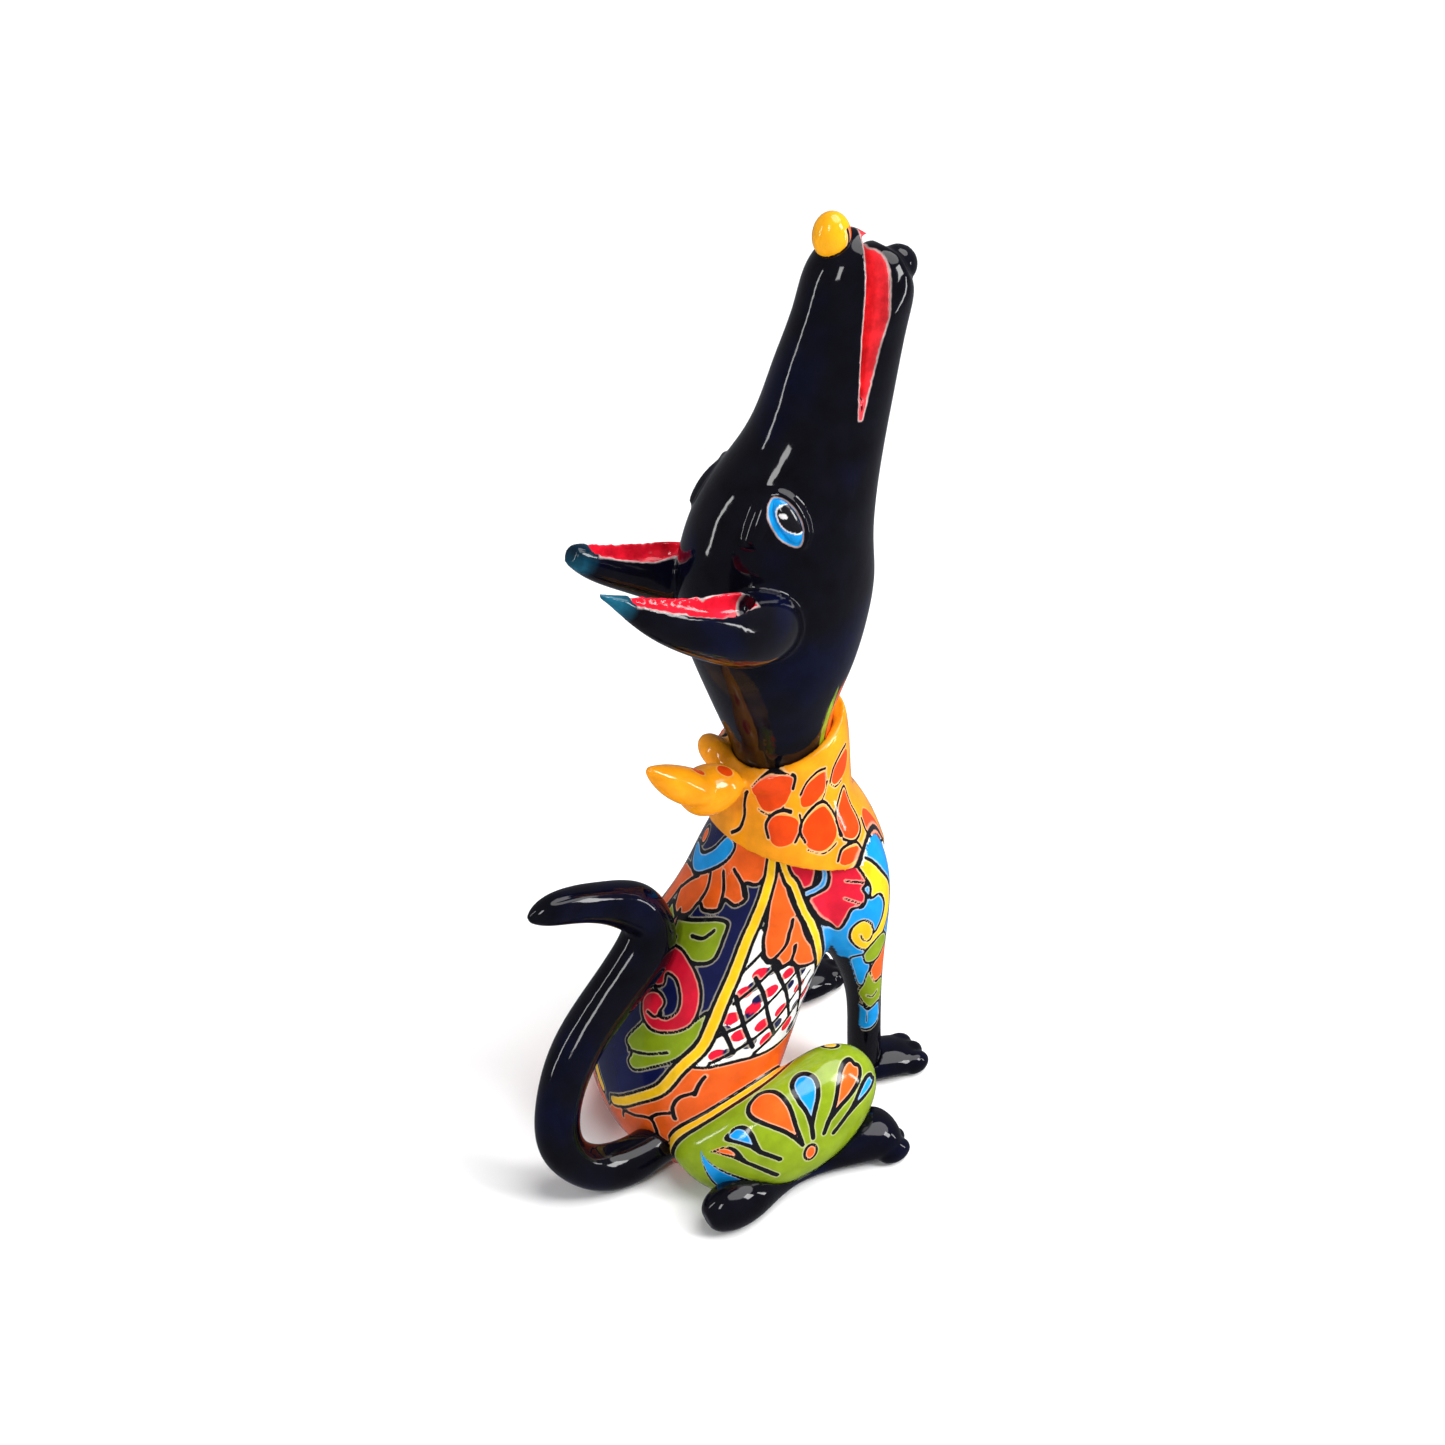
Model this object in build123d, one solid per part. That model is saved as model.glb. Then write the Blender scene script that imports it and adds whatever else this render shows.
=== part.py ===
"""Howling coyote figure in glazed earthenware, sitting on its haunches with a neckerchief.

The figure is put together from clay pieces that are pressed or cast in moulds and luted with slip:
a hollow body and a hollow head in two halves each, thighs, legs, feet, tail, ears, eyes, nose, and a
neckerchief with its knot. Lengths are millimetres. The coyote faces +X, its right side is -Y, +Z is up.
Limbs are lofts through oval stations: (x, y, z, depth, width), where depth is half the oval's size in
the plane of the spine and width half its size sideways.
"""

from build123d import *
import math
import os

# Driving dimensions
WALL = 7.0  # thickness of the hollow mouldings
NECK_SEAM = 226.0  # height where the head moulding stands on the body moulding
SOLE = 0.0  # height of every sole
VENT_RADIUS = 11.0  # firing vent under the body
HEAD_HOLLOW_TOP = 474.0  # the head is hollow up to here, the muzzle above is solid clay
HEM_REAR = (-12.0, 212.0)  # x and height of the neckerchief's hem behind
HEM_FRONT = (98.0, 181.0)  # x and height of the hem in front
MOUTH_CORNER = (68.0, 478.0)  # corner of the mouth, x and height
MOUTH_END = (88.0, 570.0)  # middle of the mouth just beyond the lips, x and height
GAPE = 28.0  # height of the mouth groove beyond the lips
MOUTH_ROOT = 15.0  # how near the middle plane the groove comes at its corner
NOSE = (67.0, 571.0, 10.5)  # nose button: x, height, radius
JAW_BALL = (111.0, 548.0, 11.0)  # ball on the tip of the lower jaw: x, height, radius
EYE = (20.0, 34.5, 431.0)  # middle of the left eye
EYE_SIZE = (14.5, 7.5)  # half length and half height of the eye slit
EYE_OUT = (-0.66, 0.71, 0.25)  # the way the left eye looks
EYE_SLIT = (-0.34, -0.41, 0.85)  # the way the left eye's slit runs
LID_RADIUS = 2.8  # coil laid round the eye
BROW = [(20.0, 19.0, 449.0, 3, 3), (11.0, 24.0, 437.0, 6, 7), (-1.0, 29.0, 419.0, 4, 5)]
TOE_RADIUS = 8.0
TOE_FLAT = 0.8  # how much of a toe the sole cuts off

BODY = [
    (-40, 0, -8, 39, 61),
    (-39, 0, 14, 48, 72),
    (-33, 0, 42, 52, 75),
    (-18, 0, 72, 52, 72),
    (0, 0, 102, 51, 64),
    (20, 0, 132, 50, 57),
    (37, 0, 162, 50, 55),
    (45, 0, 192, 46, 48),
    (46, 0, 222, 37, 36),
    (46, 0, 240, 34, 33),
]
HEAD = [
    (45, 0, 212, 35, 34),
    (44, 0, 236, 32, 31),
    (42, 0, 262, 31, 30),
    (38, 0, 290, 37, 35),
    (37, 0, 320, 48, 43),
    (36, 0, 350, 57, 48),
    (36, 0, 382, 60, 50),
    (43, 0, 416, 54, 45),
    (59, 0, 452, 42, 36),
    (72, 0, 494, 37, 30),
    (82, 0, 528, 34, 27),
    (88, 0, 547, 32, 26),
    (94, 0, 556, 26, 22),
    (98, 0, 562, 14, 12),
]
JAW = [
    (66, 0, 462, 60, 50),
    (80, 0, 496, 46, 42),
    (90, 0, 522, 33, 31),
    (99, 0, 540, 24, 23),
    (105, 0, 550, 19, 19),
    (109, 0, 557, 10, 11),
]
RIGHT_THIGH = [
    (-69, -55, 22, 8, 8),
    (-61, -64, 25, 19, 18),
    (-45, -78, 28, 30, 28),
    (-20, -87, 34, 36, 31),
    (8, -90, 41, 37, 29),
    (32, -88, 51, 32, 25),
    (48, -85, 57, 22, 17),
    (55, -83, 60, 10, 8),
]
LEFT_THIGH = [
    (-52, 47, 24, 8, 8),
    (-44, 56, 27, 19, 18),
    (-29, 68, 30, 30, 27),
    (-8, 76, 34, 34, 30),
    (16, 80, 43, 37, 29),
    (36, 84, 52, 32, 25),
    (49, 83, 57, 22, 17),
    (56, 81, 60, 10, 8),
]
FRONT_LEG = [
    (50, 24, 200, 26, 20),
    (60, 32, 178, 36, 25),
    (70, 36, 150, 31, 24),
    (77, 40, 116, 20, 18),
    (82, 43, 78, 12, 13),
    (84, 44, 40, 11, 12),
    (85, 44, 20, 11, 12),
    (85, 44, 7, 11, 12),
]
FRONT_PAW = [
    (76, 43, 6, 5, 7),
    (82, 44, 8, 9, 13),
    (98, 46, 9, 10, 17),
    (112, 49, 8, 9, 17),
    (121, 51, 6, 6, 12),
]
RIGHT_FOOT = [
    (-78, -111, 12, 6, 6),
    (-69, -111, 14, 14, 13),
    (-50, -110, 15, 15, 15),
    (-26, -104, 12, 11, 12),
    (2, -100, 10, 9, 12),
    (30, -102, 12, 12, 16),
    (52, -105, 14, 14, 19),
    (64, -106, 10, 8, 13),
]
LEFT_FOOT = [
    (-50, 82, 11, 5, 5),
    (-43, 83, 13, 13, 13),
    (-28, 85, 15, 15, 15),
    (-6, 88, 12, 11, 12),
    (14, 92, 10, 9, 12),
    (38, 99, 12, 12, 16),
    (57, 102, 14, 14, 19),
    (68, 103, 10, 8, 13),
]
TAIL = [
    (-40, -34, 22, 15, 16),
    (-66, -40, 14, 15, 15),
    (-94, -45, 14, 14.5, 15),
    (-120, -43, 19, 14, 15),
    (-137, -36, 38, 14, 15),
    (-133, -25, 66, 14, 15),
    (-113, -14, 94, 15, 16),
    (-81, -6, 120, 17, 16),
    (-54, 0, 146, 18, 17),
    (-60, 2, 170, 16, 16),
    (-84, 2, 185, 13, 13),
    (-108, 2, 192, 11, 11),
    (-126, 2, 193, 7, 7),
    (-133, 2, 192, 2, 2),
]
RIGHT_EAR = [
    (26, -28, 370, 22, 14),
    (4, -42, 373, 22, 18),
    (-20, -52, 383, 21, 20),
    (-48, -59, 397, 17, 17),
    (-74, -61, 411, 12, 12),
    (-93, -60, 423, 6, 6),
    (-108, -59, 433, 1.5, 1.5),
]
LEFT_EAR = [
    (32, 28, 362, 20, 14),
    (14, 40, 362, 20, 17),
    (-6, 47, 368, 19, 19),
    (-30, 50, 377, 15, 17),
    (-50, 49, 386, 12, 13),
    (-64, 47, 394, 9, 9),
    (-72, 46, 399, 6, 6),
]
SCOOP_DEPTH = 0.75  # size of the scoop in an ear, as a share of the ear's own section
SCOOP_WIDTH = 0.66
SCOOP_START = 0.3  # size of the scoop where it begins, as a share of its full size
SCOOP_LIFT = 0.7  # height of the scoop's centre above the ear's, as a share of the ear's depth
COLLAR = [
    (38, 0, 268, 44, 35),
    (44, 0, 252, 42, 38),
    (44, 0, 238, 42, 42),
    (43, 0, 226, 44, 48),
    (45, 0, 210, 49, 54),
    (49, 0, 190, 55, 58),
    (54, 0, 165, 60, 60),
    (57, 0, 135, 62, 60),
]
KNOT = [
    (2, -10, 254, 5, 7),
    (-6, -12, 254, 12, 14),
    (-16, -12, 253, 15, 16),
    (-27, -13, 253, 13, 14),
    (-34, -14, 254, 5, 8),
]
TIE_POINT = [
    (-20, -14, 256, 9, 12),
    (-36, -16, 265, 11, 13),
    (-50, -17, 276, 8, 9),
    (-61, -18, 286, 2, 2),
]
TIE_END = [
    (8, 8, 250, 8, 8),
    (6, 16, 254, 9, 10),
    (5, 24, 257, 8, 8),
    (5, 31, 259, 2, 2),
]


def mirrored(stations):
    """The same stations on the other side of the middle plane."""
    return [(x, -y, z, depth, width) for x, y, z, depth, width in stations]


def directions(stations, i):
    """The way a limb runs at one station, its sideways direction and its upward one."""
    last = len(stations) - 1
    before = Vector(*stations[max(i - 1, 0)][:3])
    after = Vector(*stations[min(i + 1, last)][:3])
    along = (after - before).normalized()
    side = (Vector(0, 1, 0) - along * along.Y).normalized()
    return along, side, side.cross(along)


def limb(stations, inset=0.0):
    """A loft through oval stations set square to their path, smaller all round by inset."""
    sections = []
    for i, (x, y, z, depth, width) in enumerate(stations):
        along, side, up = directions(stations, i)
        plane = Plane(origin=(x, y, z), x_dir=up, z_dir=along)
        sections.append(plane * Ellipse(max(depth - inset, 1.0), max(width - inset, 1.0)))
    return loft(sections)


def scoop(stations):
    """A smaller limb lifted above another one, to hollow it out from its third station on."""
    sections = []
    for i in range(2, len(stations) - 1):
        x, y, z, depth, width = stations[i]
        along, side, up = directions(stations, i)
        centre = Vector(x, y, z) + up * (SCOOP_LIFT * depth)
        plane = Plane(origin=centre, x_dir=up, z_dir=along)
        share = SCOOP_START if i == 2 else 1.0
        sections.append(plane * Ellipse(share * SCOOP_DEPTH * depth, share * SCOOP_WIDTH * width))
    return loft(sections)


def below(height):
    """A block that fills everything below a height."""
    return Pos(0, 0, height - 400) * Box(1200, 1200, 800)


def above(height):
    """A block that fills everything above a height."""
    return Pos(0, 0, height + 400) * Box(1200, 1200, 800)


def half(side):
    """A block that fills one side of the middle plane: -1 is the coyote's right, 1 its left."""
    return Pos(0, side * 400, 300) * Box(1200, 800, 1600)


def largest(shape):
    """The biggest solid of a shape, without the crumbs a cut can leave."""
    return max(shape.solids(), key=lambda solid: solid.volume)


def ball(x, y, z, radius, stretch=1.0):
    """A ball, or an upright egg when stretched."""
    return Pos(x, y, z) * scale(Sphere(radius), (1.0, 1.0, stretch))


def mouth_line():
    """The corner of the mouth, the way the mouth runs, and the way to the nose square to it."""
    low = Vector(MOUTH_CORNER[0], 0, MOUTH_CORNER[1])
    high = Vector(MOUTH_END[0], 0, MOUTH_END[1])
    along = (high - low).normalized()
    return low, high, along, Vector(-along.Z, 0, along.X)


def mouth_groove(side):
    """One side of the groove between the jaws, deep at the lips and shallow at the corner."""
    low, high, along, noseward = mouth_line()
    faces = []
    for centre, gape, root in ((low, 0.6, MOUTH_ROOT), (high, GAPE, -3.0)):
        inner = centre + Vector(0, side * root, 0)
        outer = centre + Vector(0, side * 40, 0)
        corners = [
            inner + noseward * (0.12 * gape),
            outer + noseward * (0.62 * gape),
            outer - noseward * (0.62 * gape),
            inner - noseward * (0.12 * gape),
        ]
        faces.append(Wire.make_polygon(corners, close=True))
    return Solid.make_loft(faces, ruled=True)


def throat_block():
    """Everything on the throat side of the mouth line, above the corner of the mouth."""
    low, high, along, noseward = mouth_line()
    plane = Plane(origin=low + along * 80 - noseward * 100, x_dir=along, z_dir=(0, 1, 0))
    return plane * Box(160, 200, 200)


def hem_block():
    """Everything below the hem of the neckerchief."""
    x0, z0 = HEM_REAR
    x1, z1 = HEM_FRONT
    slope = math.degrees(math.atan2(z0 - z1, x1 - x0))
    return Pos(x0, 0, z0) * Rot(0, slope, 0) * Pos(0, 0, -200) * Box(800, 800, 400)


def eye_place(side):
    """The plane of one eye, its first direction along the slit."""
    out = Vector(EYE_OUT[0], side * EYE_OUT[1], EYE_OUT[2]).normalized()
    slit = Vector(EYE_SLIT[0], side * EYE_SLIT[1], EYE_SLIT[2])
    slit = slit - out * slit.dot(out)
    x, y, z = EYE
    return Plane(origin=(x, side * y, z), x_dir=slit, z_dir=out)


def eyeball(side):
    """The almond button of the eye."""
    length, height = EYE_SIZE
    return eye_place(side) * scale(Sphere(10), (length / 10, height / 10, 0.55))


def eyelid(side):
    """A coil of clay laid round the eye."""
    rim = eye_place(side) * Ellipse(EYE_SIZE[0] + 1, EYE_SIZE[1] + 1)
    path = rim.edges()[0]
    ring = Plane(origin=path @ 0, z_dir=path % 0) * Circle(LID_RADIUS)
    return sweep(ring, path=path)


def toes(x, y, count, pitch, length):
    """A row of rounded toes at the end of a foot that points to +X."""
    row = []
    for i in range(count):
        offset = (i - (count - 1) / 2) * pitch
        reach = x - 0.12 * abs(offset) ** 1.5 / 2
        toe = scale(Sphere(TOE_RADIUS), (length, 0.95, 1))
        row.append(Pos(reach, y + offset, TOE_RADIUS - TOE_FLAT) * toe)
    return row


def with_toes(foot, row):
    """A foot with its toes pressed on, cut flat at the sole."""
    for toe in row:
        foot = foot + toe
    return foot - below(SOLE)


def neckerchief(solids):
    """The cloth as a cone laid over neck, chest and shoulders, cut off at its hem."""
    cloth = limb(COLLAR) - hem_block()
    for other in solids:
        cloth = cloth - other
    return largest(cloth)


def heads(head):
    """The two halves of the head moulding and the lower jaw."""
    parts = {}
    hollow = limb(HEAD, WALL) - below(NECK_SEAM - 20) - above(HEAD_HOLLOW_TOP)
    throat = throat_block()
    muzzle = head - mouth_groove(-1) - mouth_groove(1)
    x, z, radius = JAW_BALL
    tip = ball(x, 0, z, radius)
    parts["lower_jaw"] = largest((muzzle & throat & limb(JAW)) + tip)
    crown = muzzle - throat - hollow - tip
    parts["head_right_half"] = largest(crown & half(-1))
    parts["head_left_half"] = largest(crown & half(1))
    return parts


def faces(head, side, name):
    """Eye, lid and brow of one side."""
    parts = {}
    eye = eyeball(side)
    brow = limb([(x, side * y, z, a, b) for x, y, z, a, b in BROW])
    parts[f"eyeball_{name}"] = largest(eye - head)
    parts[f"eyelid_{name}"] = largest(eyelid(side) - head - eye)
    parts[f"brow_{name}"] = largest(brow - head - eye - eyelid(side))
    return parts


def build():
    """All the pieces by name."""
    parts = {}
    body = limb(BODY) - below(SOLE) - above(NECK_SEAM)
    hollow = limb(BODY, WALL) - below(SOLE + WALL)
    vent = Pos(-34, 0, 0) * Cylinder(VENT_RADIUS, 60)
    head = limb(HEAD) - below(NECK_SEAM)
    parts["body_right_half"] = largest((body - hollow - vent) & half(-1))
    parts["body_left_half"] = largest((body - hollow - vent) & half(1))
    parts.update(heads(head))
    x, z, radius = NOSE
    nose = ball(x, 0, z, radius, 1.25)
    parts["nose"] = largest(nose - head)
    floor = below(SOLE)
    legs = []
    for side, name in ((-1, "right"), (1, "left")):
        thigh = limb(RIGHT_THIGH if side < 0 else LEFT_THIGH) - floor
        foot = limb(RIGHT_FOOT if side < 0 else LEFT_FOOT)
        toe_row = toes(60, side * 105.0, 4, 9.5, 1.5)
        leg = limb(FRONT_LEG if side > 0 else mirrored(FRONT_LEG)) - floor
        paw = limb(FRONT_PAW if side > 0 else mirrored(FRONT_PAW))
        claws = toes(118, side * 50.0, 3, 10.0, 1.35)
        parts[f"thigh_{name}"] = largest(thigh - body)
        parts[f"hind_foot_{name}"] = largest(with_toes(foot, toe_row) - thigh - body)
        parts[f"front_leg_{name}"] = largest(leg - body - limb(HEAD))
        parts[f"front_paw_{name}"] = largest(with_toes(paw, claws) - leg)
        ear_stations = RIGHT_EAR if side < 0 else LEFT_EAR
        ear = limb(ear_stations) - scoop(ear_stations)
        parts[f"ear_{name}"] = largest(ear - head)
        parts.update(faces(head, side, name))
        legs.append(leg)
    tail = limb(TAIL) - floor
    parts["tail"] = largest(tail - body)
    cloth = neckerchief([body, head] + legs)
    knot = limb(KNOT)
    point = limb(TIE_POINT)
    end = limb(TIE_END)
    parts["neckerchief"] = cloth
    parts["knot"] = largest(knot - limb(COLLAR) - head - body)
    parts["knot_point"] = largest(point - knot - limb(COLLAR) - head)
    parts["knot_end"] = largest(end - knot - limb(COLLAR) - head)
    return parts


def main():
    """Builds the figure and writes one STEP per piece, the origin under the middle of its box."""
    os.makedirs("parts", exist_ok=True)
    parts = build()
    boxes = [part.bounding_box() for part in parts.values()]
    middle_x = (min(b.min.X for b in boxes) + max(b.max.X for b in boxes)) / 2
    middle_y = (min(b.min.Y for b in boxes) + max(b.max.Y for b in boxes)) / 2
    print("moved by", round(-middle_x, 2), round(-middle_y, 2))
    for name, part in parts.items():
        export_step(Pos(-middle_x, -middle_y, 0) * part, f"parts/{name}.step")


if __name__ == "__main__":
    main()
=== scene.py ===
"""Looks of the howling coyote in glazed earthenware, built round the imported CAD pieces.

The clay pieces are joined into smooth bodies, their surfaces are painted in flattened coordinates
(millimetres, or degrees round a limb), and one glaze shader turns the painted colours and brush
lines into glossy ceramic.
"""

import logging
import math
from dataclasses import dataclass, field
from enum import Enum

import bmesh
import bpy
import numpy as np
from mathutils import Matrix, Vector
from mathutils.bvhtree import BVHTree


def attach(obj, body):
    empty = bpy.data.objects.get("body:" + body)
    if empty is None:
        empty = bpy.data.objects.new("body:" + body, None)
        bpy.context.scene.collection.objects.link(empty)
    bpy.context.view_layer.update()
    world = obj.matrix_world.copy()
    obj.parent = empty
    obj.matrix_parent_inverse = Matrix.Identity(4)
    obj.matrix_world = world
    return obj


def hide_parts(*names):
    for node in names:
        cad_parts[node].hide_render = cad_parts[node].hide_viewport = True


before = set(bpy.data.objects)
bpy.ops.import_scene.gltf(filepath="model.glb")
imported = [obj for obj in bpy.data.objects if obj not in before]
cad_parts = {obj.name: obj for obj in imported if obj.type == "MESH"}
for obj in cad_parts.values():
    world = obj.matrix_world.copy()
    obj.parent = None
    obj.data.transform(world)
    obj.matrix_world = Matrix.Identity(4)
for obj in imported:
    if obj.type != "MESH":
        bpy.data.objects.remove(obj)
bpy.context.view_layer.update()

LOG = logging.getLogger("coyote")
MM = 0.001
SHIFT = np.array([11.79, 0.0, 0.0])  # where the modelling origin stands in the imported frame, in mm
FAR = 9.0  # millimetres past which a brush line or a shape's edge has no effect
NOWHERE = 1e9  # farther than any point
Point = tuple[float, float]
Colour = tuple[float, float, float]
Socket = bpy.types.NodeSocket
Station = tuple[float, float, float, float, float]
Plug = tuple[float, float, float, float, float]


class Pigment(Enum):
    """Glaze colours in linear light."""

    NIGHT = (0.0024, 0.0022, 0.0050)
    COBALT = (0.0016, 0.0026, 0.0170)
    # painted reflection: the brown that the neck's dark glaze shows of warm surroundings
    REFLECTED_BROWN = (0.020, 0.010, 0.004)
    INK = (0.006, 0.006, 0.008)
    NAVY = (0.006, 0.009, 0.062)
    ORANGE = (0.86, 0.120, 0.012)
    CORAL = (0.80, 0.045, 0.060)
    YELLOW = (0.97, 0.560, 0.008)
    AMBER = (0.93, 0.330, 0.008)
    SPOT = (0.80, 0.062, 0.004)
    GREEN = (0.235, 0.335, 0.010)
    SKY = (0.004, 0.300, 0.760)
    RED = (0.72, 0.010, 0.035)
    LINING = (0.78, 0.012, 0.035)
    WHITE = (0.86, 0.86, 0.86)
    TEAL = (0.010, 0.110, 0.180)
    NOSE = (0.96, 0.420, 0.008)


class Side(Enum):
    """The two sides of the coyote, as the sign of Y."""

    RIGHT = -1
    LEFT = 1


# ---------------------------------------------------------------- painting


def smooth_outline(points: list[Point], closed: bool, steps: int = 6) -> np.ndarray:
    """Runs a smooth curve through given points.

    Args:
        points: The points in order.
        closed: Whether the last point joins the first.
        steps: Pieces between two points.

    Returns:
        The curve's points, one row each.
    """
    p = np.array(points, float)
    n = len(p)
    spans = range(n) if closed else range(n - 1)
    out = []
    for i in spans:
        if closed:
            a, b, c, d = (p[(i + k) % n] for k in (-1, 0, 1, 2))
        else:
            a, b, c, d = (p[min(max(i + k, 0), n - 1)] for k in (-1, 0, 1, 2))
        square, cube = 2 * a - 5 * b + 4 * c - d, 3 * b - a - 3 * c + d
        for t in np.arange(steps) / steps:
            out.append(0.5 * (2 * b + (c - a) * t + square * t**2 + cube * t**3))
    if not closed:
        out.append(p[-1])
    return np.array(out)


def line_distance(uv: np.ndarray, line: np.ndarray, closed: bool) -> np.ndarray:
    """Distance of each point to a run of straight pieces.

    Args:
        uv: The points, one row each.
        line: The run's corners.
        closed: Whether the run closes on itself.

    Returns:
        One distance per point.
    """
    ends = np.roll(line, -1, axis=0) if closed else line[1:]
    starts = line if closed else line[:-1]
    best = np.full(len(uv), NOWHERE)
    for a, b in zip(starts, ends):
        ab = b - a
        t = np.clip(((uv - a) @ ab) / max(ab @ ab, 1e-9), 0, 1)
        d = uv - a - t[:, None] * ab
        np.minimum(best, np.hypot(d[:, 0], d[:, 1]), out=best)
    return best


def inside_outline(uv: np.ndarray, line: np.ndarray) -> np.ndarray:
    """Finds the points inside a closed outline, by counting crossings.

    Args:
        uv: The points, one row each.
        line: The outline's corners.

    Returns:
        True for each point inside.
    """
    inside = np.zeros(len(uv), bool)
    for a, b in zip(line, np.roll(line, -1, axis=0)):
        over = (a[1] > uv[:, 1]) != (b[1] > uv[:, 1])
        if abs(b[1] - a[1]) > 1e-9:
            cross = (b[0] - a[0]) * (uv[:, 1] - a[1]) / (b[1] - a[1]) + a[0]
            inside ^= over & (uv[:, 0] < cross)
    return inside


@dataclass
class Canvas:
    """The colour and the brush lines on the points of one mesh.

    ink holds the distance in millimetres to the edge of the nearest brush line, negative in it.
    crisp holds the distance to the edge of the nearest unlined shape, whose colour over keeps.
    A fine canvas has points close enough to take unlined shapes as plain tint.
    """

    count: int
    fine: bool = False
    tint: np.ndarray = field(init=False)
    ink: np.ndarray = field(init=False)
    crisp: np.ndarray = field(init=False)
    over: np.ndarray = field(init=False)

    def __post_init__(self) -> None:
        """Starts with bare dark glaze and no lines."""
        self.tint = np.tile(np.array(Pigment.NIGHT.value), (self.count, 1))
        self.ink = np.full(self.count, FAR)
        self.crisp = np.full(self.count, FAR)
        self.over = self.tint.copy()

    def clear(self, where: np.ndarray) -> None:
        """Takes the brush lines and the unlined shapes off some points."""
        self.ink[where] = FAR
        self.crisp[where] = FAR

    def lay_crisp(self, sdf: np.ndarray, pigment: Pigment, only: np.ndarray) -> None:
        """Lays an unlined shape with a sharp edge.

        Args:
            sdf: Signed distance to the shape's edge, negative inside, in millimetres.
            pigment: Its colour.
            only: Points that may change.
        """
        nearer = only & (sdf < self.crisp)
        self.crisp[nearer] = sdf[nearer]
        self.over[nearer] = pigment.value

    def lay(
        self, sdf: np.ndarray, pigment: Pigment | None, line: float, only: np.ndarray | None = None
    ) -> None:
        """Lays one shape over what is there.

        Args:
            sdf: Signed distance to the shape's edge, negative inside, in millimetres.
            pigment: Its colour, or None to leave the colour.
            line: Half width of the brush line on its edge, 0 for none.
            only: Points that may change.
        """
        only = np.ones(self.count, bool) if only is None else only
        within = (sdf < 0) & only
        if pigment is not None:
            self.tint[within] = pigment.value
            self.clear(within)
        if line > 0:
            near = only & (np.abs(sdf) < FAR)
            self.ink[near] = np.minimum(self.ink[near], np.abs(sdf[near]) - line)

    def lay_local(
        self,
        uv: np.ndarray,
        outline: np.ndarray,
        pigment: Pigment | None,
        line: float,
        only: np.ndarray,
        closed: bool,
        half: float,
    ) -> None:
        """Lays an outline or an open stroke, working only on the points near it.

        Args:
            uv: The mesh points in flattened coordinates.
            outline: The curve's points.
            pigment: Its colour, or None to leave the colour.
            line: Half width of the brush line on its edge, 0 for none.
            only: Points that may change.
            closed: Whether the curve closes on itself.
            half: Half width of an open band, 0 for a line or a closed shape.
        """
        margin = FAR + half
        low, high = outline.min(0) - margin, outline.max(0) + margin
        index = np.nonzero(only & (uv > low).all(1) & (uv < high).all(1))[0]
        if not len(index):
            return
        sub = uv[index]
        distance = line_distance(sub, outline, closed)
        if closed and half == 0:
            sdf = np.where(inside_outline(sub, outline), -distance, distance)
        else:
            sdf = distance - half
        whole = np.full(self.count, NOWHERE)
        whole[index] = sdf
        mask = np.zeros(self.count, bool)
        mask[index] = True
        if line == 0 and pigment is not None and not self.fine:
            self.lay_crisp(whole, pigment, mask)
        else:
            self.lay(whole, pigment, line, mask)


@dataclass
class Brush:
    """Paints in one set of flattened coordinates on one canvas.

    DROP is a teardrop's profile: the share of its length and the share of its width.
    """

    DROP = ((0.0, 0.02), (0.3, 0.30), (0.62, 0.80), (0.88, 1.0), (1.06, 0.86), (1.17, 0.45))

    canvas: Canvas
    uv: np.ndarray
    only: np.ndarray
    line: float = 0.9

    def shape(self, points: list[Point], pigment: Pigment | None, line: float | None = None) -> None:
        """Fills a smooth closed shape and lines its edge.

        Args:
            points: Points round its edge.
            pigment: Its colour, or None to leave the colour.
            line: Half width of the line on its edge; the brush's own if None.
        """
        edge = self.line if line is None else line
        self.canvas.lay_local(self.uv, smooth_outline(points, True), pigment, edge, self.only, True, 0.0)

    def stroke(self, points: list[Point], width: float = 2.0) -> None:
        """Draws a brush line of a full width through points."""
        outline = smooth_outline(points, False)
        self.canvas.lay_local(self.uv, outline, None, width / 2, self.only, False, 0.0)

    def ribbon(self, points: list[Point], width: float, pigment: Pigment, line: float) -> None:
        """Fills a band of even width along a curve and lines its edges.

        Args:
            points: Points along its middle.
            width: Its full width.
            pigment: Its colour.
            line: Half width of the lines on its edges.
        """
        outline = smooth_outline(points, False)
        self.canvas.lay_local(self.uv, outline, pigment, line, self.only, False, width / 2)

    def spot(
        self, centre: Point, radius: float, pigment: Pigment, line: float = 0.0, squash: float = 1.0
    ) -> None:
        """Fills a round or oval spot.

        Args:
            centre: Its middle.
            radius: Half its width.
            pigment: Its colour.
            line: Half width of the line on its edge.
            squash: Its height over its width.
        """
        ring = [
            (centre[0] + radius * math.cos(a), centre[1] + radius * squash * math.sin(a))
            for a in np.linspace(0, 2 * math.pi, 10)[:-1]
        ]
        self.shape(ring, pigment, line)

    def drop(self, tip: Point, head: Point, width: float, pigment: Pigment, line: float = 1.3) -> None:
        """Fills a teardrop petal.

        Args:
            tip: Its pointed end.
            head: The middle of its round end.
            width: Its full width.
            pigment: Its colour.
            line: Half width of its outline.
        """
        t, h = np.array(tip, float), np.array(head, float)
        along = (h - t) / np.linalg.norm(h - t)
        across = np.array([-along[1], along[0]])
        reach = np.linalg.norm(h - t)
        left = [t + along * reach * a + across * width / 2 * b for a, b in self.DROP]
        right = [t + along * reach * a - across * width / 2 * b for a, b in self.DROP[::-1]]
        cap = [h + along * width * 0.36]
        self.shape([tuple(q) for q in left + cap + right], pigment, line)


# ---------------------------------------------------------------- glaze


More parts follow.
